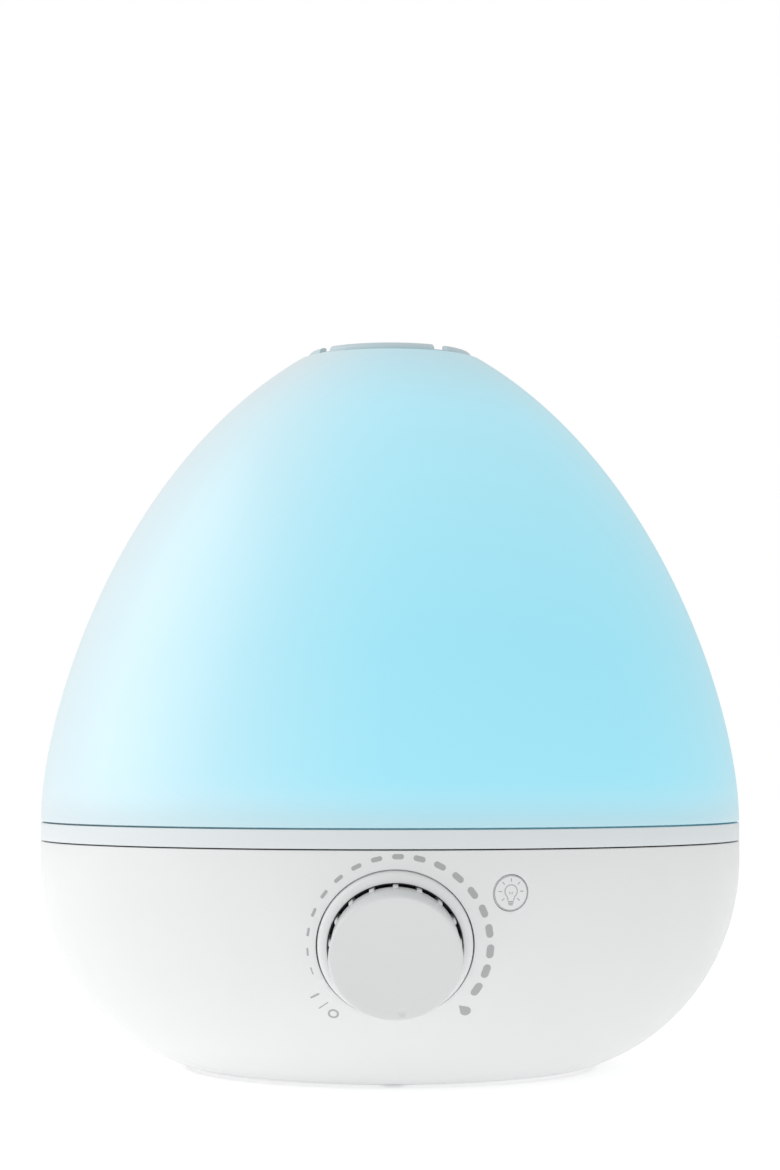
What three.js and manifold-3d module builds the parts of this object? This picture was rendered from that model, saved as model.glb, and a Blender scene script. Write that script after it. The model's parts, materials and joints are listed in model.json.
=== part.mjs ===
// Ultrasonic cool mist humidifier: a bowl-shaped base with an egg-shaped, lit water tank standing on it.
// Millimetres, +Z up. The origin is where the vessel's axis meets the table. The dial faces -Y.
// Every piece is a mesh of its own. Pieces that only touch keep a clearance between them.
import * as THREE from 'three';
import { mergeVertices } from 'three/addons/utils/BufferGeometryUtils.js';
import Module from 'manifold-3d';

const wasm = await Module();
wasm.setup();

// ---------------------------------------------------------------- driving dimensions
const vesselRadius = 115;
const baseRimZ = 73.8;
const bandBottomZ = 74.2;
const bandTopZ = 79.8;
const domeBottomZ = 80.3;
const domeTopZ = 233.4;
const domeTopRadius = 30.3;
const capTopZ = 236;
const baseBottomZ = 1;
const baseBottomRadius = 67;
const baseWall = 3;
const domeWall = 2.5;
const gap = 0.3;
const around = 40;
const roundSides = 24;
const smallSides = 12;
const tinySides = 8;

// heights inside the base
const deckZ = 69;
const deckThickness = 2.5;
const basinFloorZ = 46;
const plateTopZ = 3.7;
const boardZ = 9;
const boardThickness = 1.6;

// places on plan, as [x, y]
const fillerAt = [58, 0];
const floatAt = [-31, 0];
const fanAt = [-47, 40.4];
const ledAt = [0, 70];
const intakeAt = [-22, 19];

// the power socket's place on the back, as [x, z]
const jackAt = [36, 42];

// the parts on the front
const dialZ = 45.1;
const knobRadius = 18.9;
const knobRise = 7.5;
const ribCount = 17;
const dialHoleRadius = 23.2;
const dialRoomDepth = 9;
const buttonX = 33.8;
const buttonZ = 61.3;
const buttonRadius = 5.3;

const degrees = Math.PI / 180;

// ---------------------------------------------------------------- outlines, as radius and height
const outline = (...points) => points.map(([r, z]) => new THREE.Vector2(r, z));

const domeCurve = new THREE.CubicBezierCurve(
  ...outline([vesselRadius, domeBottomZ], [vesselRadius, 117], [89.6, 197.3], [domeTopRadius, domeTopZ]),
);
const bowlCurve = new THREE.CubicBezierCurve(
  ...outline([baseBottomRadius, baseBottomZ], [95, 9.75], [vesselRadius, 36.6], [vesselRadius, 69.2]),
);

// The share of a rising curve at which it reaches a height.
function shareAtHeight(curve, z) {
  let low = 0;
  let high = 1;
  for (let round = 0; round < 40; round += 1) {
    const middle = (low + high) / 2;
    if (curve.getPoint(middle).y < z) low = middle;
    else high = middle;
  }
  return (low + high) / 2;
}

// Points of a rising curve moved inwards by a wall thickness, from one share to another.
function inset(curve, thickness, from, to, count) {
  const points = [];
  for (let i = 0; i <= count; i += 1) {
    const share = from + ((to - from) * i) / count;
    const point = curve.getPoint(share);
    const along = curve.getTangent(share);
    points.push([point.x - along.y * thickness, point.y + along.x * thickness]);
  }
  return points;
}

const rising = (curve, count) => curve.getPoints(count).map((point) => [point.x, point.y]);

// ---------------------------------------------------------------- solids
function toSolid(geometry) {
  const bare = geometry.clone();
  bare.deleteAttribute('normal');
  bare.deleteAttribute('uv');
  const merged = mergeVertices(bare, 1e-4);
  const corners = [];
  for (let i = 0; i < merged.index.count; i += 3) {
    const [a, b, c] = [0, 1, 2].map((k) => merged.index.getX(i + k));
    if (a !== b && b !== c && c !== a) corners.push(a, b, c);
  }
  const vertProperties = merged.attributes.position.array;
  const triVerts = new Uint32Array(corners);
  return new wasm.Manifold(new wasm.Mesh({ numProp: 3, vertProperties, triVerts }));
}

function toGeometry(solid) {
  const { vertProperties, triVerts } = solid.getMesh();
  const geometry = new THREE.BufferGeometry();
  geometry.setAttribute('position', new THREE.BufferAttribute(new Float32Array(vertProperties), 3));
  geometry.setIndex(new THREE.BufferAttribute(new Uint32Array(triVerts), 1));
  geometry.computeVertexNormals();
  return geometry;
}

function join(...pieces) {
  return toGeometry(pieces.map(toSolid).reduce((whole, next) => whole.add(next)));
}

function cut(body, ...tools) {
  return toGeometry(tools.map(toSolid).reduce((left, tool) => left.subtract(tool), toSolid(body)));
}

function common(first, second) {
  return toGeometry(toSolid(first).intersect(toSolid(second)));
}

// A solid of revolution about Z. The outline closes on itself, or starts and ends on the axis.
function turned(points, segments = roundSides) {
  const onAxis = points[0][0] === 0 && points[points.length - 1][0] === 0;
  const loop = onAxis ? [...points] : [...points, points[0]];
  let twiceArea = 0;
  loop.forEach(([r, z], i) => {
    const [nextR, nextZ] = loop[(i + 1) % loop.length];
    twiceArea += r * nextZ - nextR * z;
  });
  if (twiceArea < 0) loop.reverse();
  return new THREE.LatheGeometry(outline(...loop), segments).rotateX(Math.PI / 2);
}

const ring = (innerRadius, outerRadius, bottom, top, segments) =>
  turned([[innerRadius, bottom], [outerRadius, bottom], [outerRadius, top], [innerRadius, top]], segments);

const rod = (radius, bottom, top, segments) =>
  turned([[0, bottom], [radius, bottom], [radius, top], [0, top]], segments);

const block = ([x0, x1], [y0, y1], [z0, z1]) =>
  new THREE.BoxGeometry(x1 - x0, y1 - y0, z1 - z0).translate((x0 + x1) / 2, (y0 + y1) / 2, (z0 + z1) / 2);

const at = (geometry, [x, y], z = 0) => geometry.translate(x, y, z);

// Copies of a shape spaced evenly around Z.
function spaced(count, firstAngle, make) {
  const turns = Array.from({ length: count }, (_, i) => firstAngle + (360 / count) * i);
  return turns.map((turn) => make().rotateZ(turn * degrees));
}

// A round wire along a list of points.
function wire(radius, ...points) {
  const path = new THREE.CatmullRomCurve3(points.map((point) => new THREE.Vector3(...point)));
  const section = new THREE.Shape(new THREE.EllipseCurve(0, 0, radius, radius).getPoints(6).slice(0, 6));
  return new THREE.ExtrudeGeometry(section, { steps: 10, extrudePath: path });
}

// The frame of a spot on the bowl's outside: local Z points out of the wall and local Y up along it.
function wallFrame(azimuth, z) {
  const share = shareAtHeight(bowlCurve, z);
  const radius = bowlCurve.getPoint(share).x;
  const along = bowlCurve.getTangent(share);
  const out = new THREE.Vector3(Math.cos(azimuth), Math.sin(azimuth), 0);
  const right = new THREE.Vector3(-out.y, out.x, 0);
  const normal = out.clone().multiplyScalar(along.y);
  normal.z = -along.x;
  const up = new THREE.Vector3().crossVectors(normal, right);
  return new THREE.Matrix4().makeBasis(right, up, normal).setPosition(out.x * radius, out.y * radius, z);
}

const dialFrame = wallFrame(-90 * degrees, dialZ);
const buttonWallRadius = bowlCurve.getPoint(shareAtHeight(bowlCurve, buttonZ)).x;
const buttonFrame = wallFrame(-Math.acos(buttonX / buttonWallRadius), buttonZ);
const jackFrame = new THREE.Matrix4().makeRotationX(-90 * degrees).setPosition(jackAt[0], 0, jackAt[1]);

// ---------------------------------------------------------------- materials
const finish = (color, roughness, metalness = 0) =>
  new THREE.MeshStandardMaterial({ color, roughness, metalness });
const seeThrough = (color, roughness, opacity) =>
  new THREE.MeshStandardMaterial({ color, roughness, opacity, transparent: true });

const materials = {
  whitePlastic: finish(0xeceeee, 0.38),
  frostedTank: seeThrough(0xa9e6f6, 0.45, 0.7),
  clearPlastic: seeThrough(0xdfeef2, 0.15, 0.5),
  greyPlastic: finish(0x9a9da0, 0.5),
  blackPlastic: finish(0x202225, 0.5),
  rubber: finish(0x8f9496, 0.8),
  darkRubber: finish(0x2a2c2e, 0.85),
  steel: finish(0xb8bcc0, 0.3, 1),
  brass: finish(0xc8a860, 0.35, 1),
  aluminium: finish(0xc4c7ca, 0.4, 1),
  ceramic: finish(0xe6dfcf, 0.4),
  board: finish(0x1f6b45, 0.5),
  copper: finish(0xb56a3a, 0.35, 1),
  felt: finish(0xe9e6dd, 0.95),
  magnet: finish(0x55585c, 0.35, 1),
};

const humidifier = new THREE.Group();
const dialGroup = new THREE.Group();
const buttonGroup = new THREE.Group();
const jackGroup = new THREE.Group();
dialGroup.applyMatrix4(dialFrame);
buttonGroup.applyMatrix4(buttonFrame);
jackGroup.applyMatrix4(jackFrame);
humidifier.add(dialGroup, buttonGroup, jackGroup);

function piece(name, geometry, material, group = humidifier) {
  const mesh = new THREE.Mesh(geometry, materials[material]);
  mesh.name = name;
  group.add(mesh);
}

// ---------------------------------------------------------------- tank
const neckBore = 27;
const neckLedgeZ = 228.4;
const skirtBore = 25;
const skirtBottomZ = 219;
const skirtOuter = 28.5;
const tubeBore = 14;
const tubeOuter = 16;
const floorZ = 76;
const floorTopZ = 78.6;
const spigotRadius = 112;
const spigotWall = 2.4;
const spigotTopZ = 84;
const mistSkirtBore = 13.4;
const mistSkirtOuter = 15.6;
const mistSkirtBottomZ = 58;
const socketBore = tubeOuter + 0.4;
const socketOuter = 18.6;
const socketTopZ = 88;
const fillerBore = 20;
const fillerNeckOuter = 22.4;
const fillerNeckBottomZ = 66;
const lugReach = 23.6;
const cupBore = 28.9;
const cupOuter = 31;
const cupBottomZ = 211.8;
const cupTopZ = 222;

// The dome, open below, with a stepped neck at its top for the mist collar.
function tankShell() {
  const neck = [
    [neckBore, domeTopZ], [neckBore, neckLedgeZ], [skirtBore, neckLedgeZ],
    [skirtBore, skirtBottomZ], [skirtOuter, skirtBottomZ], [skirtOuter, neckLedgeZ + 0.6],
  ];
  return turned([...rising(domeCurve, 8), ...neck, ...inset(domeCurve, domeWall, 0.97, 0, 6)], around);
}

// The tank's floor. Its edge is the pale band between the dome and the base. A mist skirt hangs from
// its middle, a socket stands around the mist tube, and the filler neck hangs to one side.
function tankFloor() {
  const body = turned([
    [mistSkirtBore, mistSkirtBottomZ], [mistSkirtOuter, mistSkirtBottomZ], [mistSkirtOuter, floorZ],
    [108, floorZ], [111.5, bandBottomZ], [vesselRadius, bandBottomZ], [vesselRadius, bandTopZ],
    [spigotRadius, bandTopZ], [spigotRadius, spigotTopZ], [spigotRadius - spigotWall, spigotTopZ],
    [spigotRadius - spigotWall, floorTopZ], [socketOuter, floorTopZ], [socketOuter, socketTopZ],
    [socketBore, socketTopZ], [socketBore, floorTopZ], [mistSkirtBore, floorTopZ],
  ], around);
  const neck = ring(fillerBore, fillerNeckOuter, fillerNeckBottomZ, floorZ + 1, roundSides);
  const lugs = spaced(2, 0, () => block([22, lugReach], [-3, 3], [68, 70]));
  const hole = rod(fillerBore, floorZ - 1, floorTopZ + 1, roundSides);
  return cut(join(body, ...[neck, ...lugs].map((shape) => at(shape, fillerAt))), at(hole, fillerAt));
}

// The tube that carries mist up through the water, with a cup at its top around the neck's skirt.
function mistTube() {
  return turned([
    [tubeBore, floorTopZ + gap], [tubeOuter, floorTopZ + gap], [tubeOuter, 204.8], [24.5, cupBottomZ],
    [cupOuter, cupBottomZ], [cupOuter, cupTopZ], [cupBore, cupTopZ], [cupBore, cupBottomZ + 2.4],
    [24, cupBottomZ + 2.4], [24, cupBottomZ + 0.6], [tubeBore, 204],
  ], roundSides);
}

piece('tank_shell', tankShell(), 'frostedTank');
piece('tank_floor', tankFloor(), 'clearPlastic');
piece('mist_tube', mistTube(), 'clearPlastic');
piece('tube_seal', ring(24.4, cupBore - 0.5, cupBottomZ + 2.7, skirtBottomZ - gap, roundSides), 'rubber');
piece('tank_gasket', ring(107, spigotRadius - spigotWall - 0.4, floorTopZ + gap, 81.4, around), 'rubber');

// ---------------------------------------------------------------- mist outlet
const rimRadius = 27.4;
const rimInner = 24.6;
const rimBottomZ = 233.7;
const spigotSide = 23;
const dishTopZ = 231.8;
const outletRadius = 8;
const outletShift = [2, 0];
const notchWidth = 5.6;
const firstNotch = -143;

// The sleeve that drops into the tank's neck and carries the turning cap.
function mistCollar() {
  return turned([
    [22.4, 221.5], [24.6, 221.5], [24.6, neckLedgeZ + gap], [26.6, neckLedgeZ + gap], [26.6, 233],
    [23.4, 233], [23.4, 230.4], [22.4, 230.4],
  ], roundSides);
}

// A small umbrella under the outlet that catches spitting drops, hung from a ring on three arms.
function dripBaffle() {
  const hoop = ring(19.6, 22, 222.5, 226, roundSides);
  const umbrella = turned([[0, 219.4], [12, 217], [12, 218.4], [0, 221]], smallSides);
  const arms = spaced(3, 90, () => block([9, 20.6], [-1, 1], [217.6, 224.6]));
  return join(hoop, umbrella, ...arms);
}

// The cap: a dished disc with a raised, notched rim and an outlet a little off its middle.
function mistCap() {
  const body = turned([
    [0, 229.6], [11, 229.6], [rimInner - 3, 231.2], [spigotSide, 231.2], [spigotSide, rimBottomZ],
    [rimRadius, rimBottomZ], [rimRadius, capTopZ - 1.6], [rimRadius - 0.4, capTopZ - 0.7],
    [rimRadius - 1.4, capTopZ], [rimInner, capTopZ], [rimInner, capTopZ - 1.1], [11, dishTopZ],
    [0, dishTopZ - 0.2],
  ], roundSides);
  const lip = at(ring(outletRadius, outletRadius + 1.6, 229.8, 233.2, smallSides), outletShift);
  const outlet = at(rod(outletRadius, 225, capTopZ + 4, smallSides), outletShift);
  const notch = () => block(
    [rimInner - 0.4, rimRadius + 1], [-notchWidth / 2, notchWidth / 2], [rimBottomZ + 0.5, capTopZ + 1],
  );
  return cut(join(body, lip), outlet, ...spaced(4, firstNotch, notch));
}

piece('mist_collar', mistCollar(), 'whitePlastic');
piece('drip_baffle', dripBaffle(), 'whitePlastic');
piece('mist_cap', mistCap(), 'frostedTank');

// ---------------------------------------------------------------- filler cap and valve
const capFloorZ = 62;
const capFloorTopZ = 64.5;
const cageTopZ = 82;
const stemBottomZ = 56;
const capRadius = 26.4;
const capRimZ = 75.4;
const cageRadius = 11.6;
const discZ = 69.6;
const discTopZ = 71;
const springWire = 0.45;

// The cap on the filler neck, with a slotted cage on its floor that guides the valve's stem.
function fillerCap() {
  const cup = turned([
    [5, capFloorZ], [capRadius, capFloorZ], [capRadius, capRimZ], [lugReach + 0.6, capRimZ],
    [lugReach + 0.6, 66.4], [fillerNeckOuter + 0.4, 66.4], [fillerNeckOuter + 0.4, capFloorTopZ],
    [5, capFloorTopZ],
  ], roundSides);
  const cage = turned([
    [10, capFloorTopZ - 1], [cageRadius, capFloorTopZ - 1], [cageRadius, cageTopZ], [2.6, cageTopZ],
    [2.6, cageTopZ - 2], [10, cageTopZ - 2],
  ], smallSides);
  const windows = spaced(4, 45, () => block([8, 13], [-4, 4], [capFloorTopZ + 0.5, 78]));
  const grips = spaced(8, 0, () => block([26, capRadius + 0.8], [-0.9, 0.9], [capFloorZ + 0.6, 75]));
  return at(cut(join(cup, cage, ...grips), ...windows), fillerAt);
}

// The plunger: a stem with a disc that carries the seal, held up here by the post in the basin.
function valvePlunger() {
  return at(turned([
    [0, stemBottomZ], [2.1, stemBottomZ], [2.1, discZ], [8.4, discZ], [8.4, discTopZ], [2.1, discTopZ],
    [2.1, cageTopZ + 2], [0, cageTopZ + 2],
  ], smallSides), fillerAt);
}

// The coil spring between the plunger's disc and the top of the cage.
class Helix extends THREE.Curve {
  constructor(radius, bottom, top, turns) {
    super();
    Object.assign(this, { radius, bottom, top, turns });
  }

  getPoint(share, target = new THREE.Vector3()) {
    const angle = share * this.turns * 2 * Math.PI;
    const height = this.bottom + share * (this.top - this.bottom);
    return target.set(this.radius * Math.cos(angle), this.radius * Math.sin(angle), height);
  }
}

function valveSpring() {
  const round = new THREE.EllipseCurve(0, 0, springWire, springWire);
  const section = new THREE.Shape(round.getPoints(5).slice(0, 5));
  const path = new Helix(5, discTopZ + 2 * springWire, cageTopZ - 2 - 0.8, 4);
  return at(new THREE.ExtrudeGeometry(section, { steps: 32, extrudePath: path }), fillerAt);
}

piece('filler_cap', fillerCap(), 'greyPlastic');
const gasket = ring(17.5, fillerNeckOuter, capFloorTopZ + gap, fillerNeckBottomZ - gap, roundSides);
piece('cap_gasket', at(gasket, fillerAt), 'rubber');
piece('valve_plunger', valvePlunger(), 'whitePlastic');
piece('valve_seal', at(ring(2.5, 9, 67.8, discZ - gap, smallSides), fillerAt), 'rubber');
piece('valve_spring', valveSpring(), 'steel');

// ---------------------------------------------------------------- base casing
const ledgeInner = 102;
const ledgeTopZ = deckZ - gap;
const innerRadius = 112.2;
const flangeInner = 58;
const flangeBottomZ = plateTopZ + gap;
const flangeTopZ = 6.5;
const plateRadius = 66.6;
const plateScrewRadius = 61.5;
const deckScrewRadius = 106.2;
const drawerX = 18.6;
const drawerBottomZ = 36.4;
const drawerTopZ = 49.6;
const drawerGap = 0.4;
const pilotRadius = 1.4;
const footInner = 50;
const footOuter = 58;
const grooveTopZ = 2.2;
const boardX = [-12, 54];
const boardY = [-46, 14];
const boardPosts = [[-8, -42], [37, -37], [-8, 10], [48, 8]];

// The whole body of the bowl, up to its rim.
function bowlSolid() {
  const side = [...rising(bowlCurve, 7), [vesselRadius, baseRimZ]];
  return turned([[0, baseBottomZ], ...side, [0, baseRimZ]], around);
}

// The bowl: outer casing, open at the top, with a flange for the bottom plate and a ledge for the deck.
function baseShell() {
  const [from, to] = [65.5, 5].map((z) => shareAtHeight(bowlCurve, z));
  const inner = inset(bowlCurve, baseWall, from, to, 5).filter(([, z]) => z > flangeTopZ);
  const body = turned([
    ...rising(bowlCurve, 7), [vesselRadius, baseRimZ], [innerRadius, baseRimZ], [innerRadius, ledgeTopZ],
    [ledgeInner, ledgeTopZ], [ledgeInner, ledgeTopZ - 2.5], ...inner,
    [flangeInner, flangeTopZ], [flangeInner, flangeBottomZ], [baseBottomRadius, flangeBottomZ],
  ], around);
  const bosses = spaced(4, 0, () => at(rod(3.4, flangeBottomZ, 12, tinySides), [plateScrewRadius, 0]));
  const pilots = spaced(4, 0, () => at(rod(pilotRadius, 2, 13, tinySides), [plateScrewRadius, 0]));
  const deckPilots = spaced(3, 30, () => at(rod(pilotRadius, 60, 75, tinySides), [deckScrewRadius, 0]));
  const dialHole = rod(dialHoleRadius, -20, 10, roundSides).applyMatrix4(dialFrame);
  const buttonHole = rod(buttonRadius + gap, -6, 3, roundSides).applyMatrix4(buttonFrame);
  const jackHole = rod(6.3, 90, 120, smallSides).applyMatrix4(jackFrame);
  const drawerHole = block(
    [-drawerX - drawerGap, drawerX + drawerGap], [80, 120],
    [drawerBottomZ - drawerGap, drawerTopZ + drawerGap],
  );
  return cut(join(body, ...bosses), ...pilots, ...deckPilots, dialHole, buttonHole, jackHole, drawerHole);
}

// The bottom plate: foot groove, air intake slots, screw recesses and the circuit board's posts.
function basePlate() {
  const disc = rod(plateRadius, baseBottomZ, plateTopZ, around);
  const groove = ring(footInner - gap, footOuter + gap, 0, grooveTopZ, around);
  const posts = boardPosts.map((place) => at(rod(2.6, plateTopZ - 0.5, boardZ - gap, tinySides), place));
  const recesses = spaced(4, 0, () => at(rod(3.5, 0, 2.4, tinySides), [plateScrewRadius, 0]));
  const holes = spaced(4, 0, () => at(rod(1.8, 0, 5, tinySides), [plateScrewRadius, 0]));
  const slots = [-12, -6, 0, 6, 12].map((y) => {
    const half = Math.sqrt(17 ** 2 - y ** 2);
    return at(block([-half, half], [y - 1.5, y + 1.5], [0, 5]), intakeAt);
  });
  return cut(join(disc, ...posts), groove, ...recesses, ...holes, ...slots);
}

// A pan-head screw along Z, head down for under the base and head up for the deck.
function screw(headRadius, headHeight, shankRadius, length) {
  return turned([
    [0, 0], [headRadius, 0], [headRadius, headHeight], [shankRadius, headHeight], [shankRadius, length],
    [0, length + 0.8],
  ], tinySides);
}

piece('base_shell', baseShell(), 'whitePlastic');
piece('base_plate', basePlate(), 'whitePlastic');
piece('foot_ring', ring(footInner, footOuter, 0, grooveTopZ - gap, around), 'darkRubber');
spaced(4, 0, () => at(screw(3, 0.9, 1.1, 9), [plateScrewRadius, 0], 1.2)).forEach((geometry, i) => {
  piece(`plate_screw_${i + 1}`, geometry, 'steel');
});

// ---------------------------------------------------------------- reservoir deck
const basinRadius = 46;
const sideBasinRadius = 29;
const basinWall = 2.5;
const deckRadius = 111.7;
const deckRimInner = 109;
const deckRimZ = 73.2;
const transducerBore = 9.6;
const clampTopZ = 39.8;
const sealTopZ = basinFloorZ - basinWall - gap;

// The deck under the tank: a rimmed plate that dips into a water basin with two joined rounds. The
// basin holds the float's post, the valve's post and the hole over the transducer. The air port
// stands behind it, and the plate has a window for the lamp.
function reservoirDeck() {
  const plate = turned([
    [0, deckZ], [deckRadius, deckZ], [deckRadius, deckRimZ], [deckRimInner, deckRimZ],
    [deckRimInner, deckZ + deckThickness], [0, deckZ + deckThickness],
  ], around);
  const potBottomZ = basinFloorZ - basinWall;
  const pot = rod(basinRadius + basinWall, potBottomZ, deckZ + 1, roundSides);
  const sidePot = at(rod(sideBasinRadius + basinWall, potBottomZ, deckZ + 1, roundSides), fillerAt);
  const well = rod(basinRadius, basinFloorZ, 80, roundSides);
  const sideWell = at(rod(sideBasinRadius, basinFloorZ, 80, roundSides), fillerAt);
  const transducerBoss = ring(13.2, 20, clampTopZ + gap, potBottomZ + 0.5, roundSides);
  const port = at(rod(10.6, deckZ, 74.8, smallSides), fanAt);
  const floatPost = at(rod(4.4, basinFloorZ - 1, 68, smallSides), floatAt);
  const valvePost = at(rod(3, basinFloorZ - 1, stemBottomZ - 0.4, tinySides), fillerAt);
  const hollowed = cut(join(plate, pot, sidePot), well, sideWell);
  return cut(
    join(hollowed, transducerBoss, port, floatPost, valvePost),
    rod(transducerBore, 40, 50, smallSides),
    at(rod(8.6, 60, 80, smallSides), fanAt),
    at(rod(7.9, 60, 80, smallSides), ledAt),
    rod(dialHoleRadius + 0.4, -dialRoomDepth, 10, roundSides).applyMatrix4(dialFrame),
    ...spaced(3, 30, () => at(rod(pilotRadius, 60, 80, tinySides), [deckScrewRadius, 0])),
  );
}

// The split ring on the float's post that stops the float from coming off.
function floatClip() {
  return at(cut(ring(4.8, 7.6, 65.4, 66.8, smallSides), block([3, 9], [-1.6, 1.6], [64, 68])), floatAt);
}

const floatTopZ = 56.6;
const magnetAt = [-8.6, 0];

// The float ring on its post, with a pocket in its top for the magnet.
function levelFloat() {
  const body = turned([
    [5, 46.6], [11.4, 46.6], [12.4, 47.6], [12.4, 55.6], [11.4, floatTopZ], [5, floatTopZ],
  ], smallSides);
  return at(cut(body, at(rod(2.9, 53, 58, tinySides), magnetAt)), floatAt);
}

piece('reservoir_deck', reservoirDeck(), 'whitePlastic');
piece('float_clip', floatClip(), 'whitePlastic');
piece('float', levelFloat(), 'whitePlastic');
piece('float_magnet', at(at(rod(2.4, 53.3, floatTopZ - 0.4, tinySides), magnetAt), floatAt), 'magnet');
const deckScrew = () => at(screw(1.9, 1.3, 1, 8).rotateX(Math.PI), [deckScrewRadius, 0], deckRimZ);
spaced(3, 30, deckScrew).forEach((geometry, i) => {
  piece(`deck_screw_${i + 1}`, geometry, 'steel');
});

// ---------------------------------------------------------------- transducer
piece('piezo_disc', rod(10.2, 41.3, 42.3, smallSides), 'ceramic');
piece('transducer_seal', turned([
  [8.4, 40.2], [12.9, 40.2], [12.9, sealTopZ], [8.4, sealTopZ], [8.4, sealTopZ - 0.6],
  [10.6, sealTopZ - 0.6], [10.6, 41], [8.4, 41],
], smallSides), 'rubber');
piece('transducer_clamp', ring(7.4, 19.6, 37.6, clampTopZ, roundSides), 'aluminium');

// ---------------------------------------------------------------- fan and air duct
const fanBottomZ = 20;
const fanTopZ = 38;
const fanRadius = 25;
const bladeCount = 7;
const bladePitch = 38 * degrees;
const bladeZ = 28.5;
const hubRadius = 10.4;
const ductNeck = 10.4;
const ductBore = 8.8;

// The fan's round frame, with three arms and a hub plate under the motor.
function fanHousing() {
  const frame = ring(fanRadius - 2.4, fanRadius, fanBottomZ, fanTopZ, roundSides);
  const hub = rod(8.4, fanBottomZ, fanBottomZ + 1.6, smallSides);
  const arms = spaced(3, 0, () => block([7, fanRadius - 1], [-1.2, 1.2], [fanBottomZ, fanBottomZ + 1.6]));
  return at(join(frame, hub, ...arms), fanAt);
}

// The impeller: a cup over the motor with twisted blades around it.
function fanImpeller() {
  const cup = turned([
    [0, 32.2], [8.6, 32.2], [8.6, 23], [hubRadius, 23], [hubRadius, 33], [hubRadius - 1, 34], [0, 34],
  ], smallSides);
  const blade = () => block([hubRadius - 0.6, 21.6], [-5.6, 5.6], [-0.6, 0.6]);
  const blades = spaced(bladeCount, 0, () => blade().rotateX(bladePitch).translate(0, 0, bladeZ));
  return at(join(cup, ...blades), fanAt);
}

// The duct from the fan up to the deck's air port: a shoulder over the fan, a neck and a top flange.
function airDuct() {
  return at(turned([
    [22.4, fanTopZ + gap], [fanRadius, fanTopZ + gap], [fanRadius, 40], [ductNeck, 43], [ductNeck, 66.9],
    [ductNeck + 2, 66.9], [ductNeck + 2, deckZ - gap], [ductBore, deckZ - gap], [ductBore, 42],
    [22.4, 39.4],
  ], roundSides), fanAt);
}

piece('fan_housing', fanHousing(), 'blackPlastic');
piece('fan_motor', at(rod(7.8, fanBottomZ + 1.9, 31.6, smallSides), fanAt), 'steel');
piece('fan_impeller', fanImpeller(), 'greyPlastic');
piece('air_duct', airDuct(), 'whitePlastic');

// ---------------------------------------------------------------- driver electronics and lamp
const boardTopZ = boardZ + boardThickness;
const partsZ = boardTopZ + gap;

// A finned heatsink standing on the driver board.
function heatsink() {
  const depth = [-19, 3];
  const finAt = [28, 32, 36, 40, 44];
  const fins = finAt.map((x) => block([x, x + 1.6], depth, [partsZ + 2, partsZ + 16]));
  return join(block([28, 45.6], depth, [partsZ, partsZ + 2.5]), ...fins);
}

// A wound drum: the winding between two flanges.
function inductor() {
  return turned([[0, 0], [8, 0], [8, 1.4], [6.4, 1.4], [6.4, 8.6], [8, 8.6], [8, 10], [0, 10]], smallSides);
}

// The lamp board under the deck's window, with three lamps on it.
function ledBoard() {
  const half = 1.6;
  const lamps = [-4.5, 0, 4.5].map((x) => block([x - half, x + half], [-half, half], [58, 59.8]));
  return at(join(block([-14, 14], [-8, 10], [57, 58.6]), ...lamps), ledAt);
}

piece('driver_board', block(boardX, boardY, [boardZ, boardTopZ]), 'board');
piece('heatsink', heatsink(), 'aluminium');
piece('inductor', at(inductor(), [8, -32], partsZ), 'copper');
piece('capacitor', at(rod(5, 0, 14, smallSides), [24, -34], partsZ), 'blackPlastic');
piece('led_board', ledBoard(), 'board');
piece('led_lens', at(turned([
  [0, 62.5], [9.6, 62.5], [9.6, deckZ - gap], [7.5, deckZ - gap], [7.5, 72], [5, 73.6], [0, 74.2],
], smallSides), ledAt), 'clearPlastic');

// The power socket in the back: a round inlet with a block behind it.
function dcJack() {
  const barrel = turned([[0, 91], [5.8, 91], [5.8, 101.5], [3.8, 101.5], [3.8, 93], [0, 93]], smallSides);
  return join(barrel, block([-7, 7], [-6, 6], [82, 92]));
}

piece('dc_jack', dcJack(), 'blackPlastic', jackGroup);

// ---------------------------------------------------------------- dial, in the dial's own frame
const bezelInner = 19.9;
const bezelOuter = 22.8;
const bezelFloor = -8;
const skirtEnd = -5.6;
const skirtRadius = 17.4;
const rimUnderside = -1.2;
const faceRadius = 19.5;
const bushingHole = 4.2;
const bushingRadius = 3.9;
const shaftRadius = 3;
const shaftClear = 0.3;
const canRadius = 8.5;
const canBottom = -17;

// The bezel: a cup in the bowl's wall with a crowned rim, a hole for the shaft and two snap ears.
function dialBezel() {
  const cup = turned([
    [bushingHole, bezelFloor], [bezelOuter, bezelFloor], [bezelOuter, -2.5], [21.6, -1.6], [20.4, -1.2],
    [bezelInner, -1.4], [bezelInner, bezelFloor + 1.8], [bushingHole, bezelFloor + 1.8],
  ], roundSides);
  const ears = spaced(2, 0, () => block([22, 26.4], [-5, 5], [bezelFloor, bezelFloor + 1.1]));
  return join(cup, ...ears);
}

// The knob: a hollow cap that flares to a dished face, with a narrower ribbed skirt and a hub.
function dialKnob() {
  const cap = turned([
    [0, 4.8], [shaftRadius + shaftClear, 4.8], [shaftRadius + shaftClear, -3.2], [5.6, -3.2], [5.6, 5.2],
    [16.2, 5.2], [16.2, skirtEnd], [skirtRadius, skirtEnd], [skirtRadius, rimUnderside],
    [knobRadius, rimUnderside], [knobRadius, 0.3], [faceRadius, knobRise - 0.9],
    [faceRadius - 0.3, knobRise - 0.3], [faceRadius - 0.9, knobRise], [12, knobRise - 0.5],
    [0, knobRise - 0.8],
  ], roundSides);
  const rib = () => block([skirtRadius - 0.6, knobRadius + 0.6], [-0.8, 0.8], [skirtEnd, 0.6]);
  return join(cap, ...spaced(ribCount, 90, rib));
}

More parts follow.
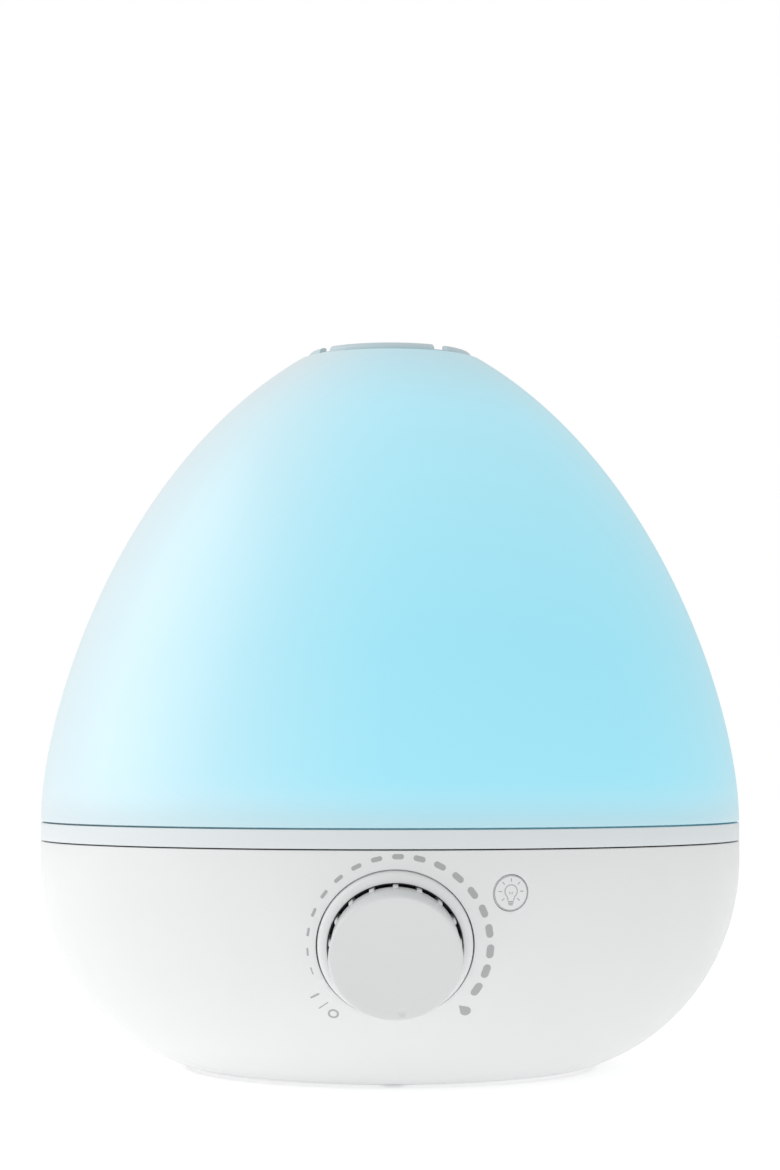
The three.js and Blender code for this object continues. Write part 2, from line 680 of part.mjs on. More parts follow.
// The potentiometer: a round can with a bushing through the bezel, bored for the shaft.
function potentiometer() {
  return turned([
    [0, canBottom], [canRadius, canBottom], [canRadius, bezelFloor - gap],
    [bushingRadius, bezelFloor - gap], [bushingRadius, -3.6], [shaftRadius + shaftClear, -3.6],
    [shaftRadius + shaftClear, canBottom + 2], [0, canBottom + 2],
  ], smallSides);
}

function potNut() {
  return cut(rod(6.2, -5.9, -4.4, 6), rod(4.3, -7, -3, smallSides));
}

piece('dial_bezel', dialBezel(), 'whitePlastic', dialGroup);
piece('dial_knob', dialKnob(), 'whitePlastic', dialGroup);
piece('pot_shaft', rod(shaftRadius, canBottom + 2.4, 4.5, smallSides), 'aluminium', dialGroup);
piece('potentiometer', potentiometer(), 'steel', dialGroup);
piece('pot_nut', potNut(), 'brass', dialGroup);
piece('control_board', block([-22, 20], [-20, 12], [-18.9, -17.3]), 'board', dialGroup);

// ---------------------------------------------------------------- lamp button, in the button's own frame
// The button cap fills its hole in the wall, and its stem reaches in to the switch.
function lightButton() {
  return turned([
    [0, -7], [1.8, -7], [1.8, -3], [buttonRadius, -3], [buttonRadius, -0.3], [buttonRadius - 0.4, 0],
    [0, 0.15],
  ], roundSides);
}

// The push switch: a square body with a bore for its plunger.
function tactSwitch() {
  return cut(block([-3, 3], [-3, 3], [-12, -8.4]), rod(1.9, -10.5, -8, tinySides));
}

piece('light_button', lightButton(), 'whitePlastic', buttonGroup);
piece('switch_plunger', rod(1.5, -9.4, -7.3, tinySides), 'blackPlastic', buttonGroup);
piece('tact_switch', tactSwitch(), 'blackPlastic', buttonGroup);
piece('button_board', block([-8, 8], [-10, 2.5], [-13.9, -12.3]), 'board', buttonGroup);

// ---------------------------------------------------------------- aroma drawer
const trayX = 17;
const trayInnerY = 70;
const trayBottomZ = 37.4;
const trayTopZ = 47;
const trayWall = 1.6;
const trayOuterY = 104;

// The drawer: its front carries on the bowl's outside, and a shallow tray behind it holds the pad.
function aromaDrawer() {
  const front = common(block([-drawerX, drawerX], [103, 120], [drawerBottomZ, drawerTopZ]), bowlSolid());
  const tray = block([-trayX, trayX], [trayInnerY, trayOuterY], [trayBottomZ, trayTopZ]);
  const hollow = block(
    [-trayX + trayWall, trayX - trayWall], [trayInnerY + trayWall, trayOuterY - 2.5],
    [trayBottomZ + trayWall, trayTopZ + 1],
  );
  const scoop = rod(9, -3, 3, roundSides).rotateX(90 * degrees).translate(0, 112, drawerTopZ + 5.6);
  return cut(join(front, tray), hollow, scoop);
}

// The channel that the drawer runs in, with two hangers up to the deck.
function drawerGuide() {
  const channel = block([-19.3, 19.3], [68, 101], [35, 47.6]);
  const inside = block([-trayX - 0.6, trayX + 0.6], [67, 102], [36.8, 48]);
  const hangers = [-19.3, 17.6].map((x) => block([x, x + 1.7], [70, 78], [40, deckZ - gap]));
  return join(cut(channel, inside), ...hangers);
}

piece('aroma_drawer', aromaDrawer(), 'whitePlastic');
piece('aroma_pad', block([-14.8, 14.8], [72.4, 100.8], [39.4, 42]), 'felt');
piece('drawer_guide', drawerGuide(), 'whitePlastic');

// ---------------------------------------------------------------- leads inside the base
const leadRadius = 1;
const leadPoints = {
  piezo_lead: [[14, 4, 11.4], [11, 4, 20], [3, 2, 30], [0, 0, 40.7]],
  fan_lead: [[-6, 2, 12.2], [-10, 6, 15], [-18, 12, 17.6], [-26, 22, 17.6], [-38, 32, 18.4]],
  led_lead: [[11, 66, 56.4], [14, 60, 48], [24, 50, 32], [26, 30, 18], [24, 10, 11.4]],
  dc_lead: [[36, 81.5, 42], [36, 74, 40], [36, 58, 30], [40, 30, 18], [49, 8, 12.2]],
  control_lead: [[22, -89, 44], [25, -80, 34], [34, -64, 18], [38, -52, 13], [40, -42, 12.2]],
};

Object.entries(leadPoints).forEach(([name, points]) => {
  piece(name, wire(leadRadius, ...points), 'darkRubber');
});

export default humidifier;
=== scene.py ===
"""The looks of a cool mist humidifier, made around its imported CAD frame.

Lengths are in millimetres until a mesh is made, which turns them into metres. +Z is up and the dial faces -Y.
Plain round pieces take their outline from the CAD node that they stand for. The others have functions of
their own, which use the frame's measures and repeat the CAD's dimensions.
"""
import json
import math

import bmesh
import bpy
import numpy as np
from mathutils import Matrix, Vector


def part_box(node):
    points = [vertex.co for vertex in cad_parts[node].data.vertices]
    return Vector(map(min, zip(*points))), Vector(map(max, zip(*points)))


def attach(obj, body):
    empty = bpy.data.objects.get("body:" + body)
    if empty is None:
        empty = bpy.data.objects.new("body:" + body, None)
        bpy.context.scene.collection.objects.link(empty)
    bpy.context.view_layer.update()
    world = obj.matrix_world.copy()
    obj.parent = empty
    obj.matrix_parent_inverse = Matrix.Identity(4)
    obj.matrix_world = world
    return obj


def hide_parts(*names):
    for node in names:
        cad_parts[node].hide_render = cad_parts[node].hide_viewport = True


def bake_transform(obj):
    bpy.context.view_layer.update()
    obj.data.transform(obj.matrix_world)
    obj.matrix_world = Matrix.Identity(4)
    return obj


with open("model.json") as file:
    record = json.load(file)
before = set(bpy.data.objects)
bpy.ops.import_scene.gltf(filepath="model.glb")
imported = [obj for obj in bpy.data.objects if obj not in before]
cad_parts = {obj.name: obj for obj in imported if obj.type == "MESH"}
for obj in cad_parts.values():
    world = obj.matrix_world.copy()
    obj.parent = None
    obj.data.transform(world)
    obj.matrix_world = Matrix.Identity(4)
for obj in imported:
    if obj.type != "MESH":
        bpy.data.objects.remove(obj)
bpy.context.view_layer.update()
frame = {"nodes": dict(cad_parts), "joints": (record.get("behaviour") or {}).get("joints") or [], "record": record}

MM = 0.001
UPRIGHT = Matrix.Identity(4)
ROUND = 160
FINE = 256
SMALL = 64
MERGE = 0.002  # points nearer than this are one point
SHARP = 35  # edges that turn by more degrees than this look sharp
record = frame["record"]
slot_of = {row["node"]: row["material_slot"] for row in record["subparts"]}
body_of = {node: body for body, nodes in record["behaviour"]["bodies"].items() for node in nodes}
joints = {row["name"]: row for row in frame["joints"]}


# ---------------- measures taken from the frame
def low(node, axis=2):
    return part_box(node)[0][axis] / MM


def high(node, axis=2):
    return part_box(node)[1][axis] / MM


def middle(node, axis):
    """Halfway through a node's box, to a hundredth of a millimetre."""
    return round((low(node, axis) + high(node, axis)) / 2, 2)


def centre(node):
    """The middle of a node's box, seen from above."""
    return (middle(node, 0), middle(node, 1))


VESSEL_RADIUS = high("base_shell", 0)
BASE_BOTTOM = low("base_shell")
BASE_RIM = high("base_shell")
DOME_BOTTOM = low("tank_shell")
DOME_TOP = high("tank_shell")
DOME_TOP_RADIUS = 30.3
DOME_WALL = 2.5
BASE_WALL = 3
BASE_FOOT_RADIUS = 67

# the middle control points of the two curved outlines, as radius and height
DOME_PULLS = [(VESSEL_RADIUS, 117), (89.6, 197.3)]
BOWL_PULLS = [(95, 9.75), (VESSEL_RADIUS, 36.6)]
BOWL_STRAIGHT_FROM = 69.2


# ---------------- outlines, as radius and height
def bezier(ends, pulls, steps):
    """Points of a cubic curve, first to last."""
    (a, d), (b, c) = ends, pulls
    points = []
    for i in range(steps + 1):
        t = i / steps
        weights = ((1 - t) ** 3, 3 * t * (1 - t) ** 2, 3 * t * t * (1 - t), t ** 3)
        points.append(tuple(sum(w * p[k] for w, p in zip(weights, (a, b, c, d))) for k in (0, 1)))
    return points


def dome_outline(steps=72):
    return bezier([(VESSEL_RADIUS, DOME_BOTTOM), (DOME_TOP_RADIUS, DOME_TOP)], DOME_PULLS, steps)


def bowl_outline(steps=64):
    return bezier([(BASE_FOOT_RADIUS, BASE_BOTTOM), (VESSEL_RADIUS, BOWL_STRAIGHT_FROM)], BOWL_PULLS, steps)


def inset(points, depth):
    """The same line moved inwards, towards the axis, by a wall's thickness."""
    moved = []
    for i, (r, z) in enumerate(points):
        before, after = points[max(i - 1, 0)], points[min(i + 1, len(points) - 1)]
        along = Vector((after[0] - before[0], after[1] - before[1])).normalized()
        moved.append((r - along.y * depth, z + along.x * depth))
    return moved


def softened(outline, radius, steps=4, closed=True):
    """The outline with each real corner turned into a short arc."""
    least_turn, longest_share = math.radians(14), 0.45
    rounded = []
    count = len(outline)
    for i, corner in enumerate(outline):
        here = Vector(corner)
        if not closed and i in (0, count - 1):
            rounded.append(corner)
            continue
        back = Vector(outline[i - 1]) - here
        ahead = Vector(outline[(i + 1) % count]) - here
        turn = math.pi - back.angle(ahead, math.pi)
        if turn < least_turn or here.x < 1e-6:
            rounded.append(corner)
            continue
        reach = min(radius * math.tan(turn / 2), longest_share * min(back.length, ahead.length))
        start = here + back.normalized() * reach
        end = here + ahead.normalized() * reach
        for k in range(steps + 1):
            t = k / steps
            point = start * (1 - t) ** 2 + here * 2 * t * (1 - t) + end * t * t
            rounded.append((point.x, point.y))
    return rounded


def chains(edges):
    """Ordered runs of vertices along loose edges."""
    left = set(edges)
    runs = []
    while left:
        ends = [e for e in left if any(sum(f in left for f in v.link_edges) == 1 for v in e.verts)]
        edge = ends[0] if ends else next(iter(left))
        first = next((v for v in edge.verts if sum(f in left for f in v.link_edges) == 1), edge.verts[0])
        run = [first]
        while edge:
            left.discard(edge)
            run.append(edge.other_vert(run[-1]))
            edge = next((f for f in run[-1].link_edges if f in left), None)
        runs.append(run)
    return runs


def sections(node, place=UPRIGHT, turn=0.0):
    """The outlines of a CAD node in a half plane through an axis, as radius and height, largest first."""
    off_corners = 0.0007  # the cut misses the corners of the facets
    cut = bmesh.new()
    cut.from_mesh(frame["nodes"][node].data)
    cut.transform(Matrix.Rotation(-turn - off_corners, 4, "Z") @ place.inverted() @ Matrix.Scale(1 / MM, 4))
    bmesh.ops.remove_doubles(cut, verts=cut.verts, dist=MERGE)
    everything = cut.verts[:] + cut.edges[:] + cut.faces[:]
    bmesh.ops.bisect_plane(cut, geom=everything, plane_no=(0, 1, 0), clear_inner=True, clear_outer=True)
    everything = cut.verts[:] + cut.edges[:] + cut.faces[:]
    bmesh.ops.bisect_plane(cut, geom=everything, plane_no=(1, 0, 0), clear_inner=True)
    bmesh.ops.remove_doubles(cut, verts=cut.verts, dist=MERGE)
    found = []
    for run in chains(cut.edges):
        points = [(v.co.x, v.co.z) for v in run]
        closed = run[0] == run[-1]
        if closed:
            points = points[:-1]
        found.append((tidy(points, closed), closed))
    cut.free()
    return sorted(found, key=lambda item: -abs(area(item[0])))


def area(points):
    return sum(a[0] * b[1] - b[0] * a[1] for a, b in zip(points, points[1:] + points[:1])) / 2


def tidy(points, closed):
    """The points without those that lie on a straight run between their neighbours."""
    shortest, straight = 1e-4, math.radians(0.6)
    kept = list(points)
    i = 0 if closed else 1
    while i < len(kept) - (0 if closed else 1) and len(kept) > 3:
        back = Vector(kept[i]) - Vector(kept[i - 1])
        ahead = Vector(kept[(i + 1) % len(kept)]) - Vector(kept[i])
        if back.length < shortest or ahead.length < shortest or back.angle(ahead) < straight:
            kept.pop(i)
        else:
            i += 1
    return kept


# ---------------- meshes
def to_object(name, built, place=UPRIGHT, sharp=SHARP, oriented=False):
    """An object from a closed bmesh in millimetres, smooth but for its sharp edges."""
    built.transform(Matrix.Scale(MM, 4) @ place)
    if not oriented:
        bmesh.ops.recalc_face_normals(built, faces=built.faces)
        if built.calc_volume(signed=True) < 0:
            bmesh.ops.reverse_faces(built, faces=built.faces)
    mesh = bpy.data.meshes.new(name)
    built.to_mesh(mesh)
    built.free()
    return smooth(link(name, mesh), sharp)


def link(name, data):
    piece = bpy.data.objects.new(name, data)
    bpy.context.scene.collection.objects.link(piece)
    return piece


def smooth(piece, sharp=SHARP):
    piece.data.shade_smooth()
    piece.data.set_sharp_from_angle(angle=math.radians(sharp))
    return piece


def turned(name, outline, place=UPRIGHT, segments=ROUND, soften=0.0, closed=None, rise=None):
    """A solid of revolution. An outline that starts and ends on the axis is open there.
    rise moves each point along the axis by a height that depends on its place across it."""
    on_axis = outline[0][0] < 0.02 and outline[-1][0] < 0.02
    closed = not on_axis if closed is None else closed
    if on_axis:
        outline = [(0, outline[0][1])] + list(outline[1:-1]) + [(0, outline[-1][1])]
    if soften:
        outline = softened(outline, soften, closed=closed)
    built = bmesh.new()
    rings = []
    for r, z in outline:
        if r < 1e-6:
            rings.append([built.verts.new((0, 0, z))])
            continue
        ring = []
        for k in range(segments):
            x = r * math.cos(2 * math.pi * k / segments)
            y = r * math.sin(2 * math.pi * k / segments)
            ring.append(built.verts.new((x, y, z + (rise(x, y) if rise else 0))))
        rings.append(ring)
    pairs = list(zip(rings, rings[1:]))
    if closed:
        pairs.append((rings[-1], rings[0]))
    for lower, upper in pairs:
        if len(lower) == 1 and len(upper) == 1:
            continue
        for k in range(segments):
            n = (k + 1) % segments
            if len(lower) == 1:
                built.faces.new((lower[0], upper[n], upper[k]))
            elif len(upper) == 1:
                built.faces.new((lower[k], lower[n], upper[0]))
            else:
                built.faces.new((lower[k], lower[n], upper[n], upper[k]))
    return to_object(name, built, place)


def rod(name, radius, bottom, top, place=UPRIGHT, segments=SMALL, soften=0.0):
    return turned(name, [(0, bottom), (radius, bottom), (radius, top), (0, top)], place, segments, soften)


def ring(name, inner, outer, bottom, top, place=UPRIGHT, segments=SMALL, soften=0.0):
    corners = [(inner, bottom), (outer, bottom), (outer, top), (inner, top)]
    return turned(name, corners, place, segments, soften)


def block(name, x, y, z, place=UPRIGHT, soften=0.3):
    """A box between three pairs of bounds, with rounded edges."""
    built = bmesh.new()
    bmesh.ops.create_cube(built, size=1)
    size = Vector((x[1] - x[0], y[1] - y[0], z[1] - z[0]))
    halfway = Vector((x[0] + x[1], y[0] + y[1], z[0] + z[1])) / 2
    built.transform(Matrix.Translation(halfway) @ Matrix.Diagonal((*size, 1)))
    if soften:
        bmesh.ops.bevel(built, geom=built.edges[:], offset=soften, segments=3, profile=0.5, affect="EDGES")
    return to_object(name, built, place, sharp=50)


def skin(built, rows):
    """Faces around rows of points, from each row to the next."""
    count = len(rows[0])
    for lower, upper in zip(rows, rows[1:]):
        for k in range(count):
            n = (k + 1) % count
            built.faces.new((lower[k], lower[n], upper[n], upper[k]))


def prism(name, points, bottom, top, place=UPRIGHT):
    """A straight solid over a flat outline."""
    built = bmesh.new()
    ends = [[built.verts.new((x, y, z)) for x, y in points] for z in (bottom, top)]
    built.faces.new(reversed(ends[0]))
    built.faces.new(ends[1])
    skin(built, ends)
    return to_object(name, built, place)


def at(x, y, z=0.0):
    return Matrix.Translation((x, y, z))


def spun(angle, place=UPRIGHT):
    """A place turned round its own axis, in degrees."""
    return place @ Matrix.Rotation(math.radians(angle), 4, "Z")


def around(count, first=0.0, place=UPRIGHT):
    """A place turned evenly all the way round its own axis, from an angle in degrees."""
    return [spun(first + 360 / count * i, place) for i in range(count)]


def circle(count, radius, first=0.0):
    """Places spread evenly on a circle round the object's axis, each turned to face outwards."""
    return [turn @ at(radius, 0) for turn in around(count, first)]


def bundle(tools):
    """Tools that do not touch each other, as one mesh. They are used up."""
    built = bmesh.new()
    for tool in tools:
        built.from_mesh(tool.data)
        bpy.data.objects.remove(tool)
    mesh = bpy.data.meshes.new("tools")
    built.to_mesh(mesh)
    built.free()
    return link("tools", mesh)


def combine(body, tools, operation):
    """The body joined with, cut by or kept within tools that do not touch each other."""
    tool = bundle(tools)
    step = body.modifiers.new(operation.lower(), "BOOLEAN")
    step.operation = operation
    step.object = tool
    step.solver = "MANIFOLD"
    bpy.context.view_layer.update()
    solved = body.evaluated_get(bpy.context.evaluated_depsgraph_get())
    mesh = bpy.data.meshes.new_from_object(solved)
    body.modifiers.clear()
    body.data = mesh
    bpy.data.objects.remove(tool)
    return smooth(body)


def cut(body, *tools):
    return combine(body, tools, "DIFFERENCE")


def join(body, *tools):
    return combine(body, tools, "UNION")


# ---------------- materials
materials = {}


def ramped(tree, value, start, end, low_end=0.0, high_end=1.0, curve="LINEAR"):
    """A value between start and end, spread from low_end to high_end."""
    ramp = tree.nodes.new("ShaderNodeMapRange")
    ramp.interpolation_type = curve
    for name, number in (("From Min", start), ("From Max", end), ("To Min", low_end), ("To Max", high_end)):
        ramp.inputs[name].default_value = number
    tree.links.new(value, ramp.inputs["Value"])
    return ramp.outputs["Result"]


def mixed(tree, factor, a, b, blend="MIX"):
    """Two colours mixed by a factor. Either colour is a value or another node's output."""
    mix = tree.nodes.new("ShaderNodeMix")
    mix.data_type = "RGBA"
    mix.blend_type = blend
    tree.links.new(factor, mix.inputs["Factor"])
    for name, colour in (("A", a), ("B", b)):
        if isinstance(colour, tuple):
            mix.inputs[name].default_value = colour
        else:
            tree.links.new(colour, mix.inputs[name])
    return mix.outputs["Result"]


def surface(slot, colour, roughness, grain=0.5, relief=0.15, mottle=0.02, patch=30, **sockets):
    """A Principled surface with fine grain: faintly mottled colour, uneven roughness and a shallow bump.
    grain and patch are the sizes of the relief and of the colour's patches, in millimetres."""
    unevenness = 0.05
    made = bpy.data.materials.new(slot)
    made.use_nodes = True
    tree = made.node_tree
    nodes, links = tree.nodes, tree.links
    shader = nodes["Principled BSDF"]
    place = nodes.new("ShaderNodeTexCoord").outputs["Object"]

    def noise(size, detail):
        texture = nodes.new("ShaderNodeTexNoise")
        texture.inputs["Scale"].default_value = 1 / (size * MM)
        texture.inputs["Detail"].default_value = detail
        links.new(place, texture.inputs["Vector"])
        return texture.outputs["Fac"]

    def spread(value, low_end, high_end):
        """Noise keeps mostly between 0.3 and 0.7, so that is the part that is spread."""
        return ramped(tree, value, 0.3, 0.7, low_end, high_end)

    darker = (*[c * (1 - mottle) for c in colour], 1)
    paler = (*[min(1, c * (1 + mottle)) for c in colour], 1)
    links.new(mixed(tree, spread(noise(patch, 3), 0, 1), darker, paler), shader.inputs["Base Color"])
    polish = spread(noise(patch / 4, 4), roughness - unevenness, roughness + unevenness)
    links.new(polish, shader.inputs["Roughness"])
    bump = nodes.new("ShaderNodeBump")
    bump.inputs["Strength"].default_value = relief
    bump.inputs["Distance"].default_value = 0.02 * MM
    links.new(noise(grain, 2), bump.inputs["Height"])
    links.new(bump.outputs["Normal"], shader.inputs["Normal"])
    for name, value in sockets.items():
        shader.inputs[name.replace("_", " ")].default_value = value
    materials[slot] = made
    return made


def white_plastic():
    surface("white_plastic", (0.80, 0.81, 0.81), 0.36, grain=0.45, relief=0.12, mottle=0.008)


# painted shade: the knob's white plastic is a shade darker than the bowl's, mostly as painted shade and partly as
# the knob's own tone
def dial_plastic():
    surface("dial_plastic", (0.70, 0.71, 0.71), 0.36, grain=0.45, relief=0.12, mottle=0.008)


def frosted_tank():
    """A frosted shell with painted glow: the light of the lamp inside is painted into its base colour as a bluish
    tinge and into its emission. The painted glow fades towards its edges, most of all on the left, where the key
    light is painted as washing it out, and the shell is painted darker towards its bottom as painted shade.
    """
    made = surface("frosted_tank", (0.78, 0.84, 0.86), 0.5, grain=0.35, relief=0.2, mottle=0.006,
                   Coat_Weight=0.6, Coat_Roughness=0.32)
    tree = made.node_tree
    nodes, links = tree.nodes, tree.links
    shader = nodes["Principled BSDF"]
    place = nodes.new("ShaderNodeTexCoord").outputs["Object"]

    def parts(vector):
        split = nodes.new("ShaderNodeSeparateXYZ")
        links.new(vector, split.inputs["Vector"])
        return split.outputs

    def fade(value, start, end, scale=MM):
        """0 to 1, smoothly, between two heights in millimetres or, with a scale of 1, two plain values."""
        return ramped(tree, value, start * scale, end * scale, curve="SMOOTHSTEP")

    def calculated(operation, a, b):
        step = nodes.new("ShaderNodeMath")
        step.operation = operation
        links.new(a, step.inputs[0])
        if isinstance(b, float):
            step.inputs[1].default_value = b
        else:
            links.new(b, step.inputs[1])
        return step.outputs["Value"]

    # the direction outwards from the axis, of which X tells the left side from the right
    flat = nodes.new("ShaderNodeVectorMath")
    flat.operation = "MULTIPLY"
    links.new(place, flat.inputs[0])
    flat.inputs[1].default_value = (1, 1, 0)
    outward = nodes.new("ShaderNodeVectorMath")
    outward.operation = "NORMALIZE"
    links.new(flat.outputs["Vector"], outward.inputs[0])
    side = parts(outward.outputs["Vector"])["X"]
    height = parts(place)["Z"]

    # painted light: how much painted glow each spot gets; less on the left, where the key light is painted as
    # washing it out, less at the right edge, and less towards the seam at the bottom
    left_none, left_full = -1.42, 0.12
    right_none, right_full = 1.9, 0.6
    seam_none, seam_full = 62, 97
    painted_tint_none, painted_tint_full, painted_tint_curve, painted_glow_blue = 250, 133, 0.42, (0.385, 0.66, 0.76, 1)
    painted_emission_none, painted_emission_full, dark, painted_emission_colour = 262, 205, (0, 0, 0, 1), (0.0, 0.21, 0.27, 1)
    shadow_none, shadow_full, painted_shade_colour = 91, 80, (0.91, 0.91, 0.91, 1)
    painted_glow_share = calculated("MULTIPLY", fade(side, left_none, left_full, 1), fade(side, right_none, right_full, 1))
    painted_glow_share = calculated("MULTIPLY", painted_glow_share, fade(height, seam_none, seam_full))
    # painted light: the glow's bluish tinge in the base colour, stronger from the top downwards
    rise = calculated("POWER", ramped(tree, height, painted_tint_none * MM, painted_tint_full * MM), painted_tint_curve)
    frost = shader.inputs["Base Color"].links[0].from_socket
    painted_glow_colour = mixed(tree, calculated("MULTIPLY", painted_glow_share, rise), frost, painted_glow_blue)
    # painted shade: the base colour is made darker towards the bottom
    shadow = fade(height, shadow_none, shadow_full)
    links.new(mixed(tree, shadow, painted_glow_colour, painted_shade_colour, "MULTIPLY"), shader.inputs["Base Color"])
    # painted light: the bluish emission that stands for the lamp's glow through the shell
    painted_glow_emission = calculated("MULTIPLY", painted_glow_share, fade(height, painted_emission_none, painted_emission_full))
    links.new(mixed(tree, painted_glow_emission, dark, painted_emission_colour), shader.inputs["Emission Color"])
    shader.inputs["Emission Strength"].default_value = 1.0


def cap_plastic():
    surface("cap_plastic", (0.57, 0.68, 0.72), 0.4, grain=0.4, mottle=0.01)


def floor_plastic():
    surface("floor_plastic", (0.74, 0.785, 0.80), 0.42, grain=0.4, mottle=0.008)


def lens_plastic():
    surface("lens_plastic", (0.85, 0.92, 0.95), 0.12, relief=0.03, Transmission_Weight=0.8, IOR=1.49)


def grey_plastic():
    surface("grey_plastic", (0.42, 0.44, 0.45), 0.5, relief=0.2)


def black_plastic():
    surface("black_plastic", (0.025, 0.026, 0.028), 0.5, relief=0.25, mottle=0.1)


def seal_rubber():
    surface("seal_rubber", (0.45, 0.47, 0.48), 0.7, grain=0.7, relief=0.3, mottle=0.05)


def dark_rubber():
    surface("dark_rubber", (0.04, 0.04, 0.043), 0.75, grain=0.8, relief=0.35, mottle=0.12)


def steel():
    surface("steel", (0.60, 0.61, 0.63), 0.3, grain=0.6, relief=0.05, mottle=0.04, Metallic=1)


def aluminium():
    surface("aluminium", (0.66, 0.67, 0.68), 0.42, grain=0.3, relief=0.15, mottle=0.04, Metallic=1)


def brass():
    surface("brass", (0.62, 0.45, 0.20), 0.35, grain=0.4, relief=0.08, mottle=0.06, Metallic=1)


def ceramic():
    surface("ceramic", (0.74, 0.70, 0.60), 0.3, grain=0.3, relief=0.1, mottle=0.03)


def circuit_board():
    surface("circuit_board", (0.02, 0.16, 0.07), 0.35, grain=1.2, relief=0.2, mottle=0.25, patch=6)


def felt():
    surface("felt", (0.78, 0.75, 0.68), 0.95, grain=0.25, relief=0.9, mottle=0.08, patch=2, Sheen_Weight=0.5)


def print_grey():
    surface("print_grey", (0.42, 0.43, 0.43), 0.45, relief=0.05, mottle=0.01)


for make_material in (
    white_plastic, dial_plastic, frosted_tank, cap_plastic, floor_plastic, lens_plastic, grey_plastic,
    black_plastic, seal_rubber, dark_rubber, steel, aluminium, brass, ceramic, circuit_board, felt,
    print_grey,
):
    make_material()


# ---------------- joining the frame
def give(piece, slot, body, *stands_for):
    """A finished piece gets its material and its body, and the CAD nodes that it stands for are hidden."""
    piece.data.materials.clear()
    piece.data.materials.append(materials[slot])
    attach(piece, body)
    if stands_for:
        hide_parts(*stands_for)
    return piece


def stand_for(piece, node):
    return give(piece, slot_of[node], body_of[node], node)


def rounded_again(node, place=UPRIGHT, soften=0.3, turn=0.0, segments=ROUND):
    """A CAD node's own outline, taken at an angle and turned into a fully round piece with softened edges."""
    outline, closed = sections(node, place, turn)[0]
    return turned(f"{node}_fine", outline, place, segments, soften, closed)


def recast(node, place, soften=0.3):
    stand_for(rounded_again(node, place, soften), node)


# ---------------- frames on the wall
def wall_frame(origin, normal):
    """Local Z points out of the wall, local X to the right and local Y up along it."""
    normal = Vector(normal).normalized()
    right = Vector((-normal.y, normal.x, 0)).normalized()
    up = normal.cross(right)
    rotation = Matrix((right, up, normal)).transposed().to_4x4()
    return Matrix.Translation(Vector(origin)) @ rotation


def bowl_radius(z):
    """The bowl's outside radius at a height."""
    if z >= BOWL_STRAIGHT_FROM:
        return VESSEL_RADIUS
    return float(np.interp(z, BOWL_HEIGHTS, BOWL_RADII))


def outwards(joint):
    """The way out of the wall at a dial or a button, whose joint's axis points inwards."""
    return [-c for c in joints[joint]["axis"]]


BOWL_RADII, BOWL_HEIGHTS = zip(*bowl_outline(600))
BUTTON_X, BUTTON_Z = 33.8, 61.3
BUTTON_Y = -math.sqrt(bowl_radius(BUTTON_Z) ** 2 - BUTTON_X ** 2)
DIAL = wall_frame([c / MM for c in joints["dial_turn"]["pos_m"]], outwards("dial_turn"))
BUTTON = wall_frame((BUTTON_X, BUTTON_Y, BUTTON_Z), outwards("button_press"))


def wall_height(place, x, y):
    """How far the bowl's outside stands above a wall frame's own plane, at a spot on that plane.
    It is found by halving the stretch between a point inside the bowl and one outside it."""
    inside, outside = -25.0, 10.0
    for _ in range(30):
        halfway = (inside + outside) / 2
        point = place @ Vector((x, y, halfway))
        if math.hypot(point.x, point.y) < bowl_radius(point.z):
            inside = halfway
        else:
            outside = halfway
    return (inside + outside) / 2


# ---------------- places inside the object
FILLER, FLOAT, MAGNET, FAN, LAMP = (
    at(*centre(node)) for node in ("cap_gasket", "float", "float_magnet", "fan_motor", "led_lens")
)
INTAKE = at(-22, 19)
SOCKET = at(middle("dc_jack", 0), 0, middle("dc_jack", 2)) @ Matrix.Rotation(-math.pi / 2, 4, "X")
PLATE_SCREWS = circle(4, math.hypot(*centre("plate_screw_1")))
DECK_SCREWS = circle(3, math.hypot(*centre("deck_screw_3")), 30)
CLAMP_SCREWS = circle(3, 16.6, 45)


# ---------------- the tank
def make_dome():
    """The frosted shell, with the stepped neck that the mist collar drops into."""
    bore, skirt_bore, skirt = 27, 25, 28.5
    ledge, skirt_bottom, skirt_top = 228.4, 219, 229
    steps = [(bore, DOME_TOP), (bore, ledge), (skirt_bore, ledge), (skirt_bore, skirt_bottom),
             (skirt, skirt_bottom), (skirt, skirt_top)]
    inner = [p for p in reversed(inset(dome_outline(), DOME_WALL)) if p[1] < DOME_TOP - 2 * DOME_WALL]
    outline = dome_outline() + steps + inner
    stand_for(turned("tank_dome", softened(outline, 0.35), segments=FINE), "tank_shell")


def make_tank_floor():
    """The tank's floor, whose edge is the pale band, with its mist skirt, tube socket and filler neck."""
    body = rounded_again("tank_floor", turn=math.pi / 2, segments=FINE)
    bore, neck_radius, neck_bottom = 20, 22.4, 66
    floor_bottom, floor_top = 76, 78.6
    neck = ring("neck", bore, neck_radius, neck_bottom, floor_bottom + 1, FILLER, ROUND, 0.3)
    lugs = [block("lug", (22, 23.6), (-3, 3), (68, 70), turn) for turn in around(2, place=FILLER)]
    join(body, join(neck, *lugs))
    stand_for(cut(body, rod("bore", bore, floor_bottom - 1, floor_top + 1, FILLER, ROUND)), "tank_floor")


